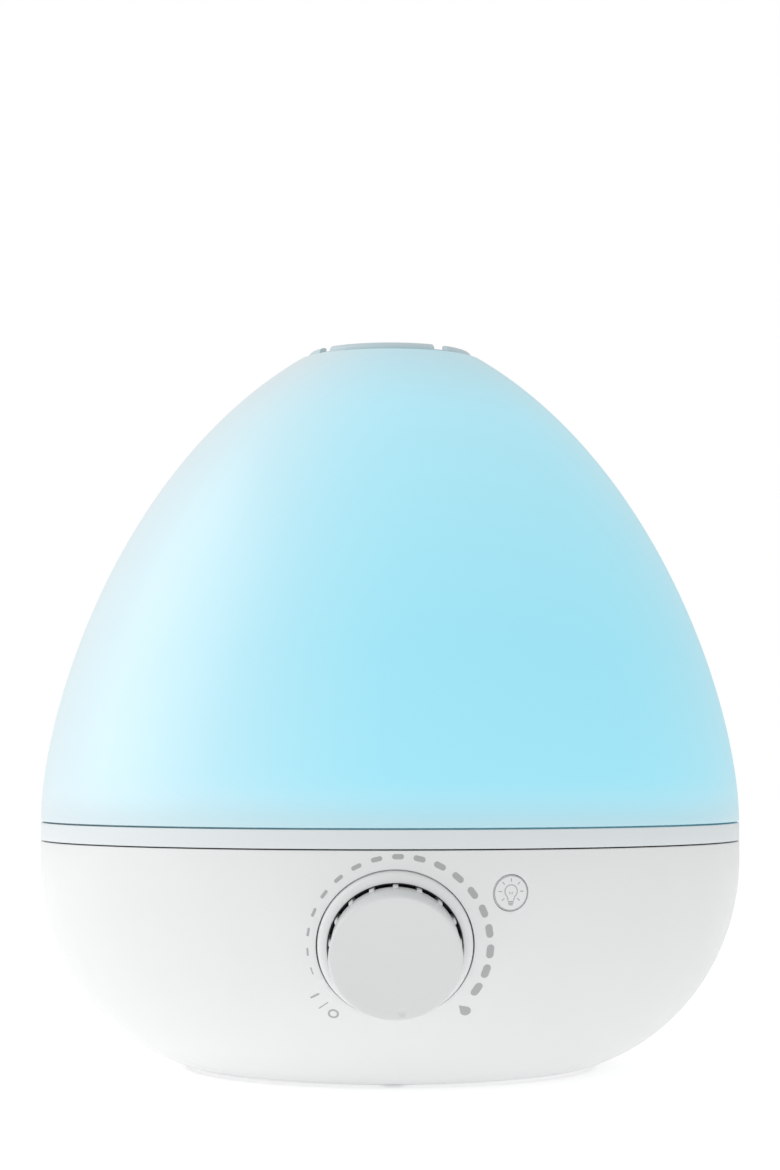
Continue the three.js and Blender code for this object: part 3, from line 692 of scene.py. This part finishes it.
# ---------------- the mist outlet
def make_cap():
    """The turning cap: a dish with a notched rim and a lipped outlet a little off its middle."""
    top, rim, rim_inner, rim_bottom = high("mist_cap"), high("mist_cap", 0), 24.6, 233.7
    spigot, spigot_bottom, hub, under = 23, 231.2, 11, low("mist_cap")
    # the rim's outer edge is rounded: how far in and how far down each of its points lies
    rounding = [(rim - inwards, top - down) for inwards, down in
                ((0, 1.6), (0.1, 1.15), (0.4, 0.65), (0.9, 0.2), (1.5, 0))]
    dish = [(rim_inner, top), (rim_inner, top - 1.1), (18, 232.7), (hub, 231.85), (0, 231.6)]
    outline = [(0, under), (hub, under), (rim_inner - 3, spigot_bottom), (spigot, spigot_bottom),
               (spigot, rim_bottom), (rim, rim_bottom)] + rounding + dish
    cap = turned("mist_cap_fine", outline, soften=0.3, closed=False)
    outlet, lip_top, shift = 8, 233.2, at(2, 0)
    join(cap, ring("lip", outlet, outlet + 1.6, under + 0.2, lip_top, shift, soften=0.4))
    half, past = 2.8, 2
    across, along, tall = (rim_inner - 0.4, rim + past), (-half, half), (rim_bottom + 0.5, top + past)
    notches = [block("notch", across, along, tall, turn, 0.15) for turn in around(4, -143)]
    stand_for(cut(cap, rod("outlet", outlet, under - past, top + past, shift), *notches), "mist_cap")


def make_baffle():
    """The umbrella under the outlet, hung from its hoop on three arms."""
    hoop = ring("drip_baffle_fine", 19.6, 22, 222.5, 226, segments=ROUND, soften=0.4)
    outline = [(0, 219.4), (6, 219), (12, 217), (12, 218.4), (6, 220.6), (0, 221)]
    umbrella = turned("umbrella", outline, soften=0.4)
    arms = [block("arm", (9, 20.6), (-1, 1), (217.6, 224.6), turn) for turn in around(3, 90)]
    stand_for(join(join(hoop, *arms), umbrella), "drip_baffle")


# ---------------- the filler cap and its valve
def make_filler_cap():
    """The ribbed cap on the filler neck, with the slotted cage that guides the valve's stem."""
    cap = rounded_again("filler_cap", FILLER, 0.35, math.radians(22.5))
    grips = [block("grip", (26, 27.1), (-0.9, 0.9), (62.8, 74.8), turn) for turn in around(24, place=FILLER)]
    windows = [block("window", (8, 13), (-4, 4), (65, 78), turn, 0.8) for turn in around(4, 45, FILLER)]
    stand_for(cut(join(cap, *grips), *windows), "filler_cap")


def helix(name, radius, wire, bottom, top, turns, place, flat=0.0, steps=48, sides=16):
    """A round wire wound up an axis. flat is how many turns lie level at each end."""
    built = bmesh.new()
    rings = []
    total = int(turns * steps)
    for i in range(total + 1):
        angle = 2 * math.pi * i / steps
        share = (i / steps - flat) / (turns - 2 * flat)
        z = bottom + (top - bottom) * min(max(share, 0), 1)
        out = Vector((math.cos(angle), math.sin(angle), 0))
        swings = [2 * math.pi * k / sides for k in range(sides)]
        rings.append([
            built.verts.new(out * (radius + wire * math.cos(s)) + Vector((0, 0, z + wire * math.sin(s))))
            for s in swings
        ])
    skin(built, rings)
    built.faces.new(rings[0])
    built.faces.new(reversed(rings[-1]))
    return to_object(name, built, place)


def make_spring():
    """The valve's spring, wound between the heights of the CAD spring."""
    wire = 0.45
    bottom, top = low("valve_spring") + wire, high("valve_spring") - wire
    spring = helix("valve_spring_fine", 5, wire, bottom, top, 4.5, FILLER, flat=0.6)
    spring.data.materials.append(materials["steel"])
    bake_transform(spring)
    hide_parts("valve_spring")


# ---------------- screws
def screw(name, place, head, head_height, shank, length):
    """A pan-head screw with a cross recess: its head's top is at 0 and its shank points up."""
    pitch, depth, plain = 0.8, 0.2, 0.4
    thread = []
    z = head_height + plain
    while z < length - 0.5:
        thread += [(shank, z), (shank + depth, z + pitch / 2)]
        z += pitch
    pan = [(0, 0), (head * 0.55, 0.08), (head * 0.9, head_height * 0.35), (head, head_height)]
    tip = [(shank, length), (0, length + 0.8)]
    made = turned(name, pan + [(shank, head_height)] + thread + tip, place, 32, closed=False)
    reach, half = head * 0.5, 0.28
    corner = [Vector((half, half)), Vector((half, reach)), Vector((-half, reach))]
    cross = [tuple(Matrix.Rotation(math.pi / 2 * k, 2) @ point) for k in range(4) for point in corner]
    return cut(made, prism("recess", cross, -1, head_height * 0.6, spun(20, place)))


def make_screws():
    for i, spot in enumerate(PLATE_SCREWS):
        node = f"plate_screw_{i + 1}"
        place = spot @ at(0, 0, low(node))
        stand_for(screw(f"{node}_fine", place, head=3, head_height=0.9, shank=1.1, length=9), node)
    for i, spot in enumerate(DECK_SCREWS):
        node = f"deck_screw_{i + 1}"
        place = spot @ at(0, 0, high(node)) @ Matrix.Rotation(math.pi, 4, "X")
        stand_for(screw(f"{node}_fine", place, head=1.9, head_height=1.3, shank=0.9, length=7.6), node)
    head_height = 1.1
    for i, spot in enumerate(CLAMP_SCREWS):
        place = spot @ at(0, 0, low("transducer_clamp") - head_height)
        made = screw(f"clamp_screw_{i + 1}", place, 1.7, head_height, shank=0.8, length=4)
        give(made, "steel", "base")


# ---------------- the base
def wall_tool(name, place, radius, depth, edge):
    """A cutter for a round hole through the bowl's wall that also rounds the hole's outer edge."""
    wider, past, shoulder = 2, 9, 0.3
    outline = [(0, -depth), (radius, -depth), (radius, -edge), (radius + edge * shoulder, -edge * shoulder),
               (radius + edge, 0), (radius + edge + wider, wider), (0, past)]
    return turned(name, outline, place, 96, rise=lambda x, y: wall_height(place, x, y))


def pilots(spots, bottom, top):
    """Cutters for the holes that screws go into."""
    return [rod("pilot", 1.4, bottom, top, spot, segments=24) for spot in spots]


def make_bowl():
    """The casing, with its holes for the dial, the button, the socket and the drawer."""
    outer = bowl_outline() + [(VESSEL_RADIUS, BASE_RIM)]
    flange_inner, flange_bottom, flange_top = 58, 4, 6.5
    inner_radius, ledge_inner, ledge_top = 112.2, 102, 68.7
    inner = [p for p in reversed(inset(bowl_outline(), BASE_WALL)) if flange_top < p[1] < ledge_top - 3.2]
    ledge = [(inner_radius, BASE_RIM), (inner_radius, ledge_top), (ledge_inner, ledge_top),
             (ledge_inner, ledge_top - 2.5)]
    flange = [(flange_inner, flange_top), (flange_inner, flange_bottom), (BASE_FOOT_RADIUS, flange_bottom)]
    shell = turned("bowl", softened(outer + ledge + inner + flange, 0.35), segments=FINE)
    join(shell, *[rod("boss", 3.4, flange_bottom, 12, spot, soften=0.3) for spot in PLATE_SCREWS])
    cut(shell, *pilots(PLATE_SCREWS, 2, 13), *pilots(DECK_SCREWS, 60, 75))
    cut(
        shell,
        wall_tool("dial_tool", DIAL, radius=23.2, depth=20, edge=0.3),
        wall_tool("button_tool", BUTTON, radius=5.48, depth=6, edge=0.12),
        rod("socket_tool", 6.3, 90, 120, SOCKET),
        block("drawer_tool", (-19, 19), (80, 120), (36, 50), soften=0.6),
    )
    stand_for(shell, "base_shell")


def make_plate():
    """The bottom plate, with its foot groove, air slots, screw recesses and board posts."""
    plate = rounded_again("base_plate", soften=0.25, turn=math.radians(60), segments=FINE)
    posts = ((-8, -42), (37, -37), (-8, 10), (48, 8))
    join(plate, *[rod("post", 2.6, 3.2, 8.7, at(*spot), soften=0.2) for spot in posts])
    recess = [(0, -1), (3.5, -1), (3.5, 2.4), (1.8, 2.4), (1.8, 6), (0, 6)]
    tools = [turned("recess", recess, spot, SMALL) for spot in PLATE_SCREWS]
    intake_radius, pitch, half_width = 17, 6, 1.5
    for y in range(-2 * pitch, 2 * pitch + 1, pitch):
        half = math.sqrt(intake_radius ** 2 - y ** 2)
        tools.append(block("slot", (-half, half), (y - half_width, y + half_width), (-1, 6), INTAKE, 0.7))
    stand_for(cut(plate, *tools), "base_plate")


def make_deck():
    """The deck under the tank: a rimmed plate, the two-lobed water basin and what stands in it."""
    rim, rim_inner, rim_top, thick = 111.7, 109, 73.2, 2.5
    plate_z, floor_z, wall = 69, 46, 2.5
    lobes = [(UPRIGHT, 46), (FILLER, 29)]
    outline = [(0, plate_z), (rim, plate_z), (rim, rim_top), (rim_inner, rim_top),
               (rim_inner, plate_z + thick), (0, plate_z + thick)]
    body = turned("reservoir_deck_fine", outline, segments=FINE, soften=0.4)
    pots = [rod("pot", r + wall, floor_z - wall, plate_z + 1, place, ROUND, 1.2) for place, r in lobes]
    wells = [rod("well", r, floor_z, 90, place, ROUND, 1.5) for place, r in lobes]
    join(body, join(*pots))
    cut(body, join(*wells))
    join(
        body,
        ring("boss", 13.2, 20, 40.1, 44, segments=ROUND, soften=0.3),
        rod("port", 10.6, plate_z, 74.8, FAN, ROUND, 0.5),
        turned("float_post", [(0, 45), (4.4, 45), (4.4, 68), (0, 68)], FLOAT, SMALL, 0.5),
        rod("valve_post", 3, 45, 55.6, FILLER, SMALL, 0.5),
        ring("transducer_lip", 9.6, 12.4, 45.6, 46.8, segments=ROUND, soften=0.3),
    )
    cut(
        body,
        rod("transducer_hole", 9.6, 40, 50, segments=ROUND),
        rod("air_hole", 8.6, 60, 90, FAN, ROUND),
        rod("lamp_hole", 7.9, 60, 90, LAMP, ROUND),
        *pilots(DECK_SCREWS, 60, 80),
    )
    stand_for(cut(body, rod("dial_room", 23.6, -9, 10, DIAL, 96)), "reservoir_deck")


def make_float():
    """The ring on its post, with the magnet's pocket, and the open clip that stops it."""
    body = rounded_again("float", FLOAT, 0.5, math.pi / 2)
    stand_for(cut(body, rod("pocket", 2.9, 53, 58, MAGNET, 48)), "float")
    clip = rounded_again("float_clip", FLOAT, turn=math.pi / 2, segments=SMALL)
    stand_for(cut(clip, block("gap", (3, 9), (-1.6, 1.6), (64, 68), FLOAT, 0.2)), "float_clip")


# ---------------- the fan
def make_fan():
    bottom, top = low("fan_housing"), high("fan_housing")
    arm_top = bottom + 1.6
    housing = ring("fan_housing_fine", 22.6, 25, bottom, top, FAN, ROUND, 0.4)
    hub = rod("hub", 8.4, bottom, arm_top, FAN, SMALL, 0.3)
    arms = [block("arm", (7, 24), (-1.2, 1.2), (bottom, arm_top), turn) for turn in around(3, place=FAN)]
    stand_for(join(housing, join(hub, *arms)), "fan_housing")
    cup = [(0, 32.2), (8.6, 32.2), (8.6, 23), (10.4, 23), (10.4, 33), (9.4, 34), (0, 34)]
    wheel = turned("fan_impeller_fine", cup, FAN, SMALL, 0.4)
    stand_for(join(wheel, *[blade(turn) for turn in around(7, place=FAN)]), "fan_impeller")


def blade(place):
    """A swept blade whose pitch flattens towards its tip."""
    spans, chords = 10, 8
    root, reach, chord, middle_z = 9.9, 11.6, 11, 27.9
    root_pitch, untwist, crown, thick = 44, 16, 0.9, 0.55
    built = bmesh.new()
    rows = []
    for i in range(spans + 1):
        share = i / spans
        radius = root + reach * share
        pitch = math.radians(root_pitch - untwist * share)
        row = []
        for side in (1, -1):
            for k in range(chords + 1):
                t = (k / chords - 0.5) * side
                along = t * chord
                camber = crown * (1 - 4 * t * t)
                half = thick * math.sqrt(max(1 - (2 * t) ** 2 * 0.85, 0)) * side
                y = along * math.cos(pitch) - (camber + half) * math.sin(pitch)
                z = middle_z + along * math.sin(pitch) + (camber + half) * math.cos(pitch)
                row.append(built.verts.new((math.sqrt(max(radius ** 2 - y * y, 1)), y, z)))
        rows.append(row)
    skin(built, rows)
    built.faces.new(rows[0])
    built.faces.new(reversed(rows[-1]))
    return to_object("blade", built, place)


# ---------------- the dial
def make_knob():
    """A hollow cap that flares to a dished face, with grip ribs at its root and a pointer dimple."""
    root, root_top, radius, face, edge, hollow_top = 18.9, 0.3, 19.5, 7.5, 0.9, 5.2
    skirt_inner, skirt_radius, skirt, rim_underside = 16.2, 17.4, -5.6, -1.2
    hub_bore, hub_radius, hub_bottom, bore_top = 3.3, 5.6, -3.2, 4.8
    corner = (radius - edge, face - edge)
    rounded = [(corner[0] + x, corner[1] + z) for x, z in (polar(edge, 90 * k / 8) for k in range(9))]
    dish = [(r, face - 0.8 * (1 - (r / corner[0]) ** 2)) for r in (17, 15, 12, 9, 6, 3, 0)]
    flare = [(skirt_radius, skirt), (skirt_radius, rim_underside), (root, rim_underside), (root, root_top)]
    inside = [(0, bore_top), (hub_bore, bore_top), (hub_bore, hub_bottom), (hub_radius, hub_bottom),
              (hub_radius, hollow_top), (skirt_inner, hollow_top), (skirt_inner, skirt)]
    knob = turned("dial_knob_fine", inside + flare + rounded + dish, DIAL, FINE, closed=False)
    rib_root, rib_half, rib_top = skirt_radius - 0.6, 0.8, 0.6
    join(knob, *[block("rib", (rib_root, radius), (-rib_half, rib_half), (skirt, rib_top), turn, 0.3)
                 for turn in around(17, 90, DIAL)])
    dimple, depth = 2.4, 0.45
    spot = (*polar(16.6, 277), face - 0.1 + dimple - depth)
    stand_for(cut(knob, ball("dimple", dimple, DIAL @ at(*spot), 48)), "dial_knob")


def ball(name, radius, place, segments):
    """A ball, turned from a half circle. Its first and last points are on the axis."""
    return turned(name, arc((0, 0), radius, -90, 90, 24), place, segments)


def make_bezel():
    """The crowned ring around the knob, with the floor and the snap ears behind it."""
    bore, inner, outer, bottom = 4.2, 19.9, 22.8, -8
    floor = bottom + 1.8
    crown = [(outer, -2.5), (outer - 0.25, -1.9), (21.9, -1.45), (21.2, -1.25), (20.5, -1.2), (20.1, -1.3),
             (inner, -1.6)]
    outline = [(bore, bottom), (outer, bottom)] + crown + [(inner, floor), (bore, floor)]
    bezel = turned("dial_bezel_fine", outline, DIAL, FINE)
    ears = [block("ear", (22, 26.4), (-5, 5), (bottom, bottom + 1.1), turn) for turn in around(2, place=DIAL)]
    stand_for(join(bezel, *ears), "dial_bezel")
    # painted shade: a thin black sheet over the bezel's floor and inner wall stands for the shade in the gap
    # around the knob
    start, outside, inside, top = 7, inner - 0.02, inner - 0.3, -1.75
    under, over = floor + 0.02, floor + 0.27
    painted_shade_lining = [(start, under), (outside, under), (outside, top), (inside, top), (inside, over), (start, over)]
    give(turned("dial_well_painted_shade", painted_shade_lining, DIAL, FINE), "black_plastic", "base")


# ---------------- the drawer and the socket
def make_drawer():
    """The aroma drawer: its front carries on the bowl's outside, with a finger scoop along its top."""
    front = block("aroma_drawer_fine", (-18.6, 18.6), (103, 125), (36.4, 49.6), soften=0.5)
    outline = [(0, BASE_BOTTOM)] + bowl_outline() + [(VESSEL_RADIUS, BASE_RIM), (0, BASE_RIM)]
    combine(front, [turned("bowl_solid", outline, segments=FINE, closed=False)], "INTERSECT")
    join(front, block("tray", (-17, 17), (70, 104), (37.4, 47), soften=0.6))
    scoop = ball("scoop", 9, at(0, 115, 55.6) @ Matrix.Diagonal((1, 0.75, 1, 1)), SMALL)
    cut(front, block("hollow", (-15.4, 15.4), (71.6, 101.5), (39, 60), soften=0.8), scoop)
    stand_for(front, "aroma_drawer")


def make_pad():
    """The felt pad: soft edges and a slightly uneven face."""
    pad = block("aroma_pad_fine", (-14.8, 14.8), (72.4, 100.8), (39.4, 42), soften=0.8)
    step = pad.modifiers.new("fine", "SUBSURF")
    step.subdivision_type = "SIMPLE"
    step.levels = step.render_levels = 5
    cloud = bpy.data.textures.new("felt_lumps", "CLOUDS")
    cloud.noise_scale = 2.5 * MM
    lumps = pad.modifiers.new("lumps", "DISPLACE")
    lumps.texture = cloud
    lumps.strength = 0.35 * MM
    lumps.mid_level = 1.0
    stand_for(pad, "aroma_pad")


def make_socket():
    """The power inlet: a barrel with its centre pin, and the block behind it."""
    outline = [(0, 91), (5.8, 91), (5.8, 101.5), (3.8, 101.5), (3.8, 93), (0, 93)]
    barrel = turned("dc_jack_fine", outline, SOCKET, ROUND, 0.3)
    stand_for(join(barrel, block("socket_block", (-7, 7), (-6, 6), (82, 92), SOCKET, 0.6)), "dc_jack")
    pin = [(0, 92.5), (0.95, 92.5), (0.95, 99.6), (0.6, 100.4), (0, 100.6)]
    give(turned("dc_jack_pin", pin, SOCKET, 32, 0.2), "steel", "base")


# ---------------- printed marks
PRINT_LIFT = 0.05
POWER_ANGLE = 222
DROP_ANGLE = 313
LABEL_RADIUS = 29.2
SCALE_SHIFT = Vector((0.7, 0))  # the scale's middle lies a little right of the dial's


def stamp(name, shapes, place, height, body):
    """Flat shapes printed on a surface, as one thin solid. height gives the surface's height at a spot."""
    built = bmesh.new()
    for points in shapes:
        if area(points) < 0:
            points = points[::-1]
        lower, upper = ([built.verts.new((x, y, height(x, y) + lift)) for x, y in points]
                        for lift in (-PRINT_LIFT, PRINT_LIFT))
        built.faces.new(upper)
        built.faces.new(reversed(lower))
        skin(built, (lower, upper))
    piece = to_object(name, built, place, oriented=True)
    piece.data.materials.append(materials["print_grey"])
    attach(piece, body)
    return piece


def capsule(spot, length, width, angle, steps=8):
    """A rounded bar about a point, lying along an angle in degrees."""
    half = max(length - width, 0) / 2
    along = Vector(polar(1, angle))
    across = Vector((-along.y, along.x))
    points = []
    for side in (1, -1):
        for k in range(steps + 1):
            swing = math.radians(-90 + 180 * k / steps)
            offset = along * (half + width / 2 * math.cos(swing)) + across * (width / 2 * math.sin(swing))
            points.append(tuple(Vector(spot) + offset * side))
    return points


def stroke(points, width, closed=False):
    """A line of even width through points, as four-cornered pieces."""
    count = len(points)
    sides = []
    for i, point in enumerate(points):
        before = Vector(points[i - 1]) if closed or i else Vector(point)
        after = Vector(points[(i + 1) % count]) if closed or i < count - 1 else Vector(point)
        along = (after - before).normalized()
        across = Vector((-along.y, along.x)) * width / 2
        sides.append((tuple(Vector(point) + across), tuple(Vector(point) - across)))
    pairs = list(zip(sides, sides[1:])) + ([(sides[-1], sides[0])] if closed else [])
    return [[a[0], a[1], b[1], b[0]] for a, b in pairs]


def arc(spot, radius, start, end, steps=16):
    angles = [start + (end - start) * k / steps for k in range(steps + 1)]
    return [tuple(Vector(spot) + Vector(polar(radius, a))) for a in angles]


def polar(radius, angle):
    return (radius * math.cos(math.radians(angle)), radius * math.sin(math.radians(angle)))


def around_dial(points, radius, angle):
    """Points of a symbol set on the dial's scale, its top towards the dial's middle."""
    turn = Matrix.Rotation(math.radians(angle + 90), 2)
    return [tuple(Vector(polar(radius, angle)) + SCALE_SHIFT + turn @ Vector(p)) for p in points]


def scale_marks():
    """Bars that grow from a hairline to a thick capsule, clockwise from the lower left."""
    count, first, last, inner = 18, 197.7, -31.3, 26.1
    thinnest, thicker, growth = 0.35, 2.05, 0.85
    shortest, longer = 2.4, 2.2
    shapes = []
    for i in range(count):
        share = i / (count - 1)
        angle = first + (last - first) * share
        width = thinnest + thicker * share ** growth
        spot = Vector(polar(inner + width / 2, angle)) + SCALE_SHIFT
        shapes.append(capsule(spot, shortest + longer * share, width, angle + 90))
    return shapes


def power_marks():
    """A bar, a divider and a ring for on and off, and a drop at the far end of the scale."""
    line, hairline, apart = 0.62, 0.35, 8
    symbols = [
        (stroke(arc((0, 0), 1.35, 0, 360, 24)[:-1], line, closed=True), POWER_ANGLE + apart),
        ([capsule((0, 0), 3.8, hairline, 90)], POWER_ANGLE),
        ([capsule((0, 0), 3.1, line, 90)], POWER_ANGLE - apart),
        ([drop()], DROP_ANGLE),
    ]
    return [around_dial(points, LABEL_RADIUS, angle) for shapes, angle in symbols for points in shapes]


def drop(radius=1.6, tip=3.0, low_by=0.4):
    """A drop: a round bottom whose sides meet in a point."""
    lean = math.degrees(math.acos(radius / tip))
    return arc((0, -low_by), radius, 90 + lean, 450 - lean, 20) + [(0, tip - low_by)]


def bulb_mark():
    """A lamp inside a ring: glass, neck, filament, three base bands and seven rays."""
    line, fine, band, centre_spot = 0.28, 0.18, 0.32, (0, 0.5)
    neck, neck_bottom = 0.86, -2.15
    glass = arc(centre_spot, 1.92, -52, 232, 28)
    shapes = stroke([(neck, neck_bottom)] + glass + [(-neck, neck_bottom)], line)
    shapes += stroke([(-0.6, 0.4), (-0.33, -0.4), (0, 0.33), (0.33, -0.4), (0.6, 0.4)], fine)
    shapes += [capsule((0, y), width, band, 0) for y, width in ((-2.5, 1.85), (-2.98, 1.75), (-3.44, 1.3))]
    for angle in range(-45, 226, 45):
        shapes.append(capsule(Vector(centre_spot) + Vector(polar(3.35, angle)), 1.1, line, angle))
    shapes += stroke(arc((0, 0), 5.07, 0, 360, 64)[:-1], 0.26, closed=True)
    return shapes


def button_height(x, y):
    """The button cap's own face: slightly crowned, with a chamfer around its edge."""
    chamfer_from, crown, slope = 4.9, 0.15, 0.75
    radius = math.hypot(x, y)
    if radius > chamfer_from:
        return (chamfer_from - radius) * slope
    return crown * (1 - radius / chamfer_from)


def make_prints():
    def on_wall(x, y):
        return wall_height(DIAL, x, y)

    stamp("dial_scale", scale_marks(), DIAL, on_wall, "base")
    stamp("dial_symbols", power_marks(), DIAL, on_wall, "base")
    stamp("lamp_symbol", bulb_mark(), BUTTON, button_height, "light_button")


# ---------------- what is left of the frame's own nodes
def dress():
    """CAD nodes that nothing stands for keep their shape, with softened edges and the slot's material."""
    for name, node in frame["nodes"].items():
        if node.hide_render:
            continue
        node.data.materials.clear()
        node.data.materials.append(materials[slot_of[name]])
        weld = node.modifiers.new("weld", "WELD")
        weld.merge_threshold = MERGE * MM
        if name.endswith("_lead"):
            rounder = node.modifiers.new("round", "SUBSURF")
            rounder.levels = rounder.render_levels = 2
        else:
            edge = node.modifiers.new("edges", "BEVEL")
            edge.width = 0.2 * MM
            edge.segments = 2
            edge.limit_method = "ANGLE"


for make_piece in (
    make_dome, make_tank_floor, make_cap, make_baffle, make_filler_cap, make_spring, make_screws, make_bowl,
    make_plate, make_deck, make_float, make_fan, make_knob, make_bezel, make_drawer, make_pad, make_socket,
    make_prints,
):
    make_piece()
for node in (
    "mist_tube", "tube_seal", "tank_gasket", "mist_collar", "foot_ring", "piezo_disc", "transducer_seal",
    "transducer_clamp", "cap_gasket", "valve_plunger", "valve_seal", "fan_motor", "air_duct", "led_lens",
    "float_magnet", "inductor", "capacitor",
):
    recast(node, at(*centre(node)))
for node in ("potentiometer", "pot_shaft"):
    recast(node, DIAL, soften=0.2)
for node in ("light_button", "switch_plunger"):
    recast(node, BUTTON, soften=0.15)
dress()


# ---------------- stage, light and camera
def aim(thing, place, target):
    thing.location = Vector(place) * MM
    thing.rotation_euler = (Vector(target) - Vector(place)).to_track_quat("-Z", "Y").to_euler()


def make_floor():
    """A white floor that also glows, so that it meets the white behind it without an edge."""
    built = bmesh.new()
    bmesh.ops.create_grid(built, x_segments=8, y_segments=8, size=6000)
    floor = to_object("floor", built)
    made = bpy.data.materials.new("floor")
    made.use_nodes = True
    shader = made.node_tree.nodes["Principled BSDF"]
    looks = {"Base Color": (0.85, 0.85, 0.85, 1), "Roughness": 0.9, "Specular IOR Level": 0,
             "Emission Color": (1, 1, 1, 1), "Emission Strength": 0.41}
    for name, value in looks.items():
        shader.inputs[name].default_value = value
    floor.data.materials.append(made)


def make_world():
    """White behind the object, and a dimmer even light on it."""
    world = bpy.data.worlds.new("studio")
    bpy.context.scene.world = world
    world.use_nodes = True
    nodes, links = world.node_tree.nodes, world.node_tree.links
    output = nodes["World Output"]
    seen = nodes["Background"]
    seen.inputs["Color"].default_value = (1, 1, 1, 1)
    fill = nodes.new("ShaderNodeBackground")
    fill.inputs["Color"].default_value = (1, 1, 1, 1)
    fill.inputs["Strength"].default_value = 0.715
    mix = nodes.new("ShaderNodeMixShader")
    links.new(nodes.new("ShaderNodeLightPath").outputs["Is Camera Ray"], mix.inputs["Fac"])
    links.new(fill.outputs["Background"], mix.inputs[1])
    links.new(seen.outputs["Background"], mix.inputs[2])
    links.new(mix.outputs["Shader"], output.inputs["Surface"])


def softbox(name, place, size, power):
    """A large square lamp, turned to the object's middle."""
    light = bpy.data.lights.new(name, "AREA")
    light.shape = "RECTANGLE"
    light.size = light.size_y = size * MM
    light.energy = power
    aim(link(name, light), place, (0, 0, 110))


def make_camera():
    """Near the dial's height, a little to the left, and tipped up so that the object stands low in view."""
    distance, height, leftwards, tip = 920, 100, math.radians(0.8), math.radians(3.63)
    camera = bpy.data.cameras.new("camera")
    camera.lens = 85
    camera.sensor_width = 36
    camera.clip_start = 10 * MM
    seat = link("camera", camera)
    place = (-distance * math.sin(leftwards), -distance * math.cos(leftwards), height)
    aim(seat, place, (0, 0, height + distance * math.tan(tip)))
    bpy.context.scene.camera = seat


make_floor()
make_world()
softbox("key", (-1400, 60, 850), 1400, 7.5)
make_camera()
bpy.context.scene.view_settings.view_transform = "Standard"
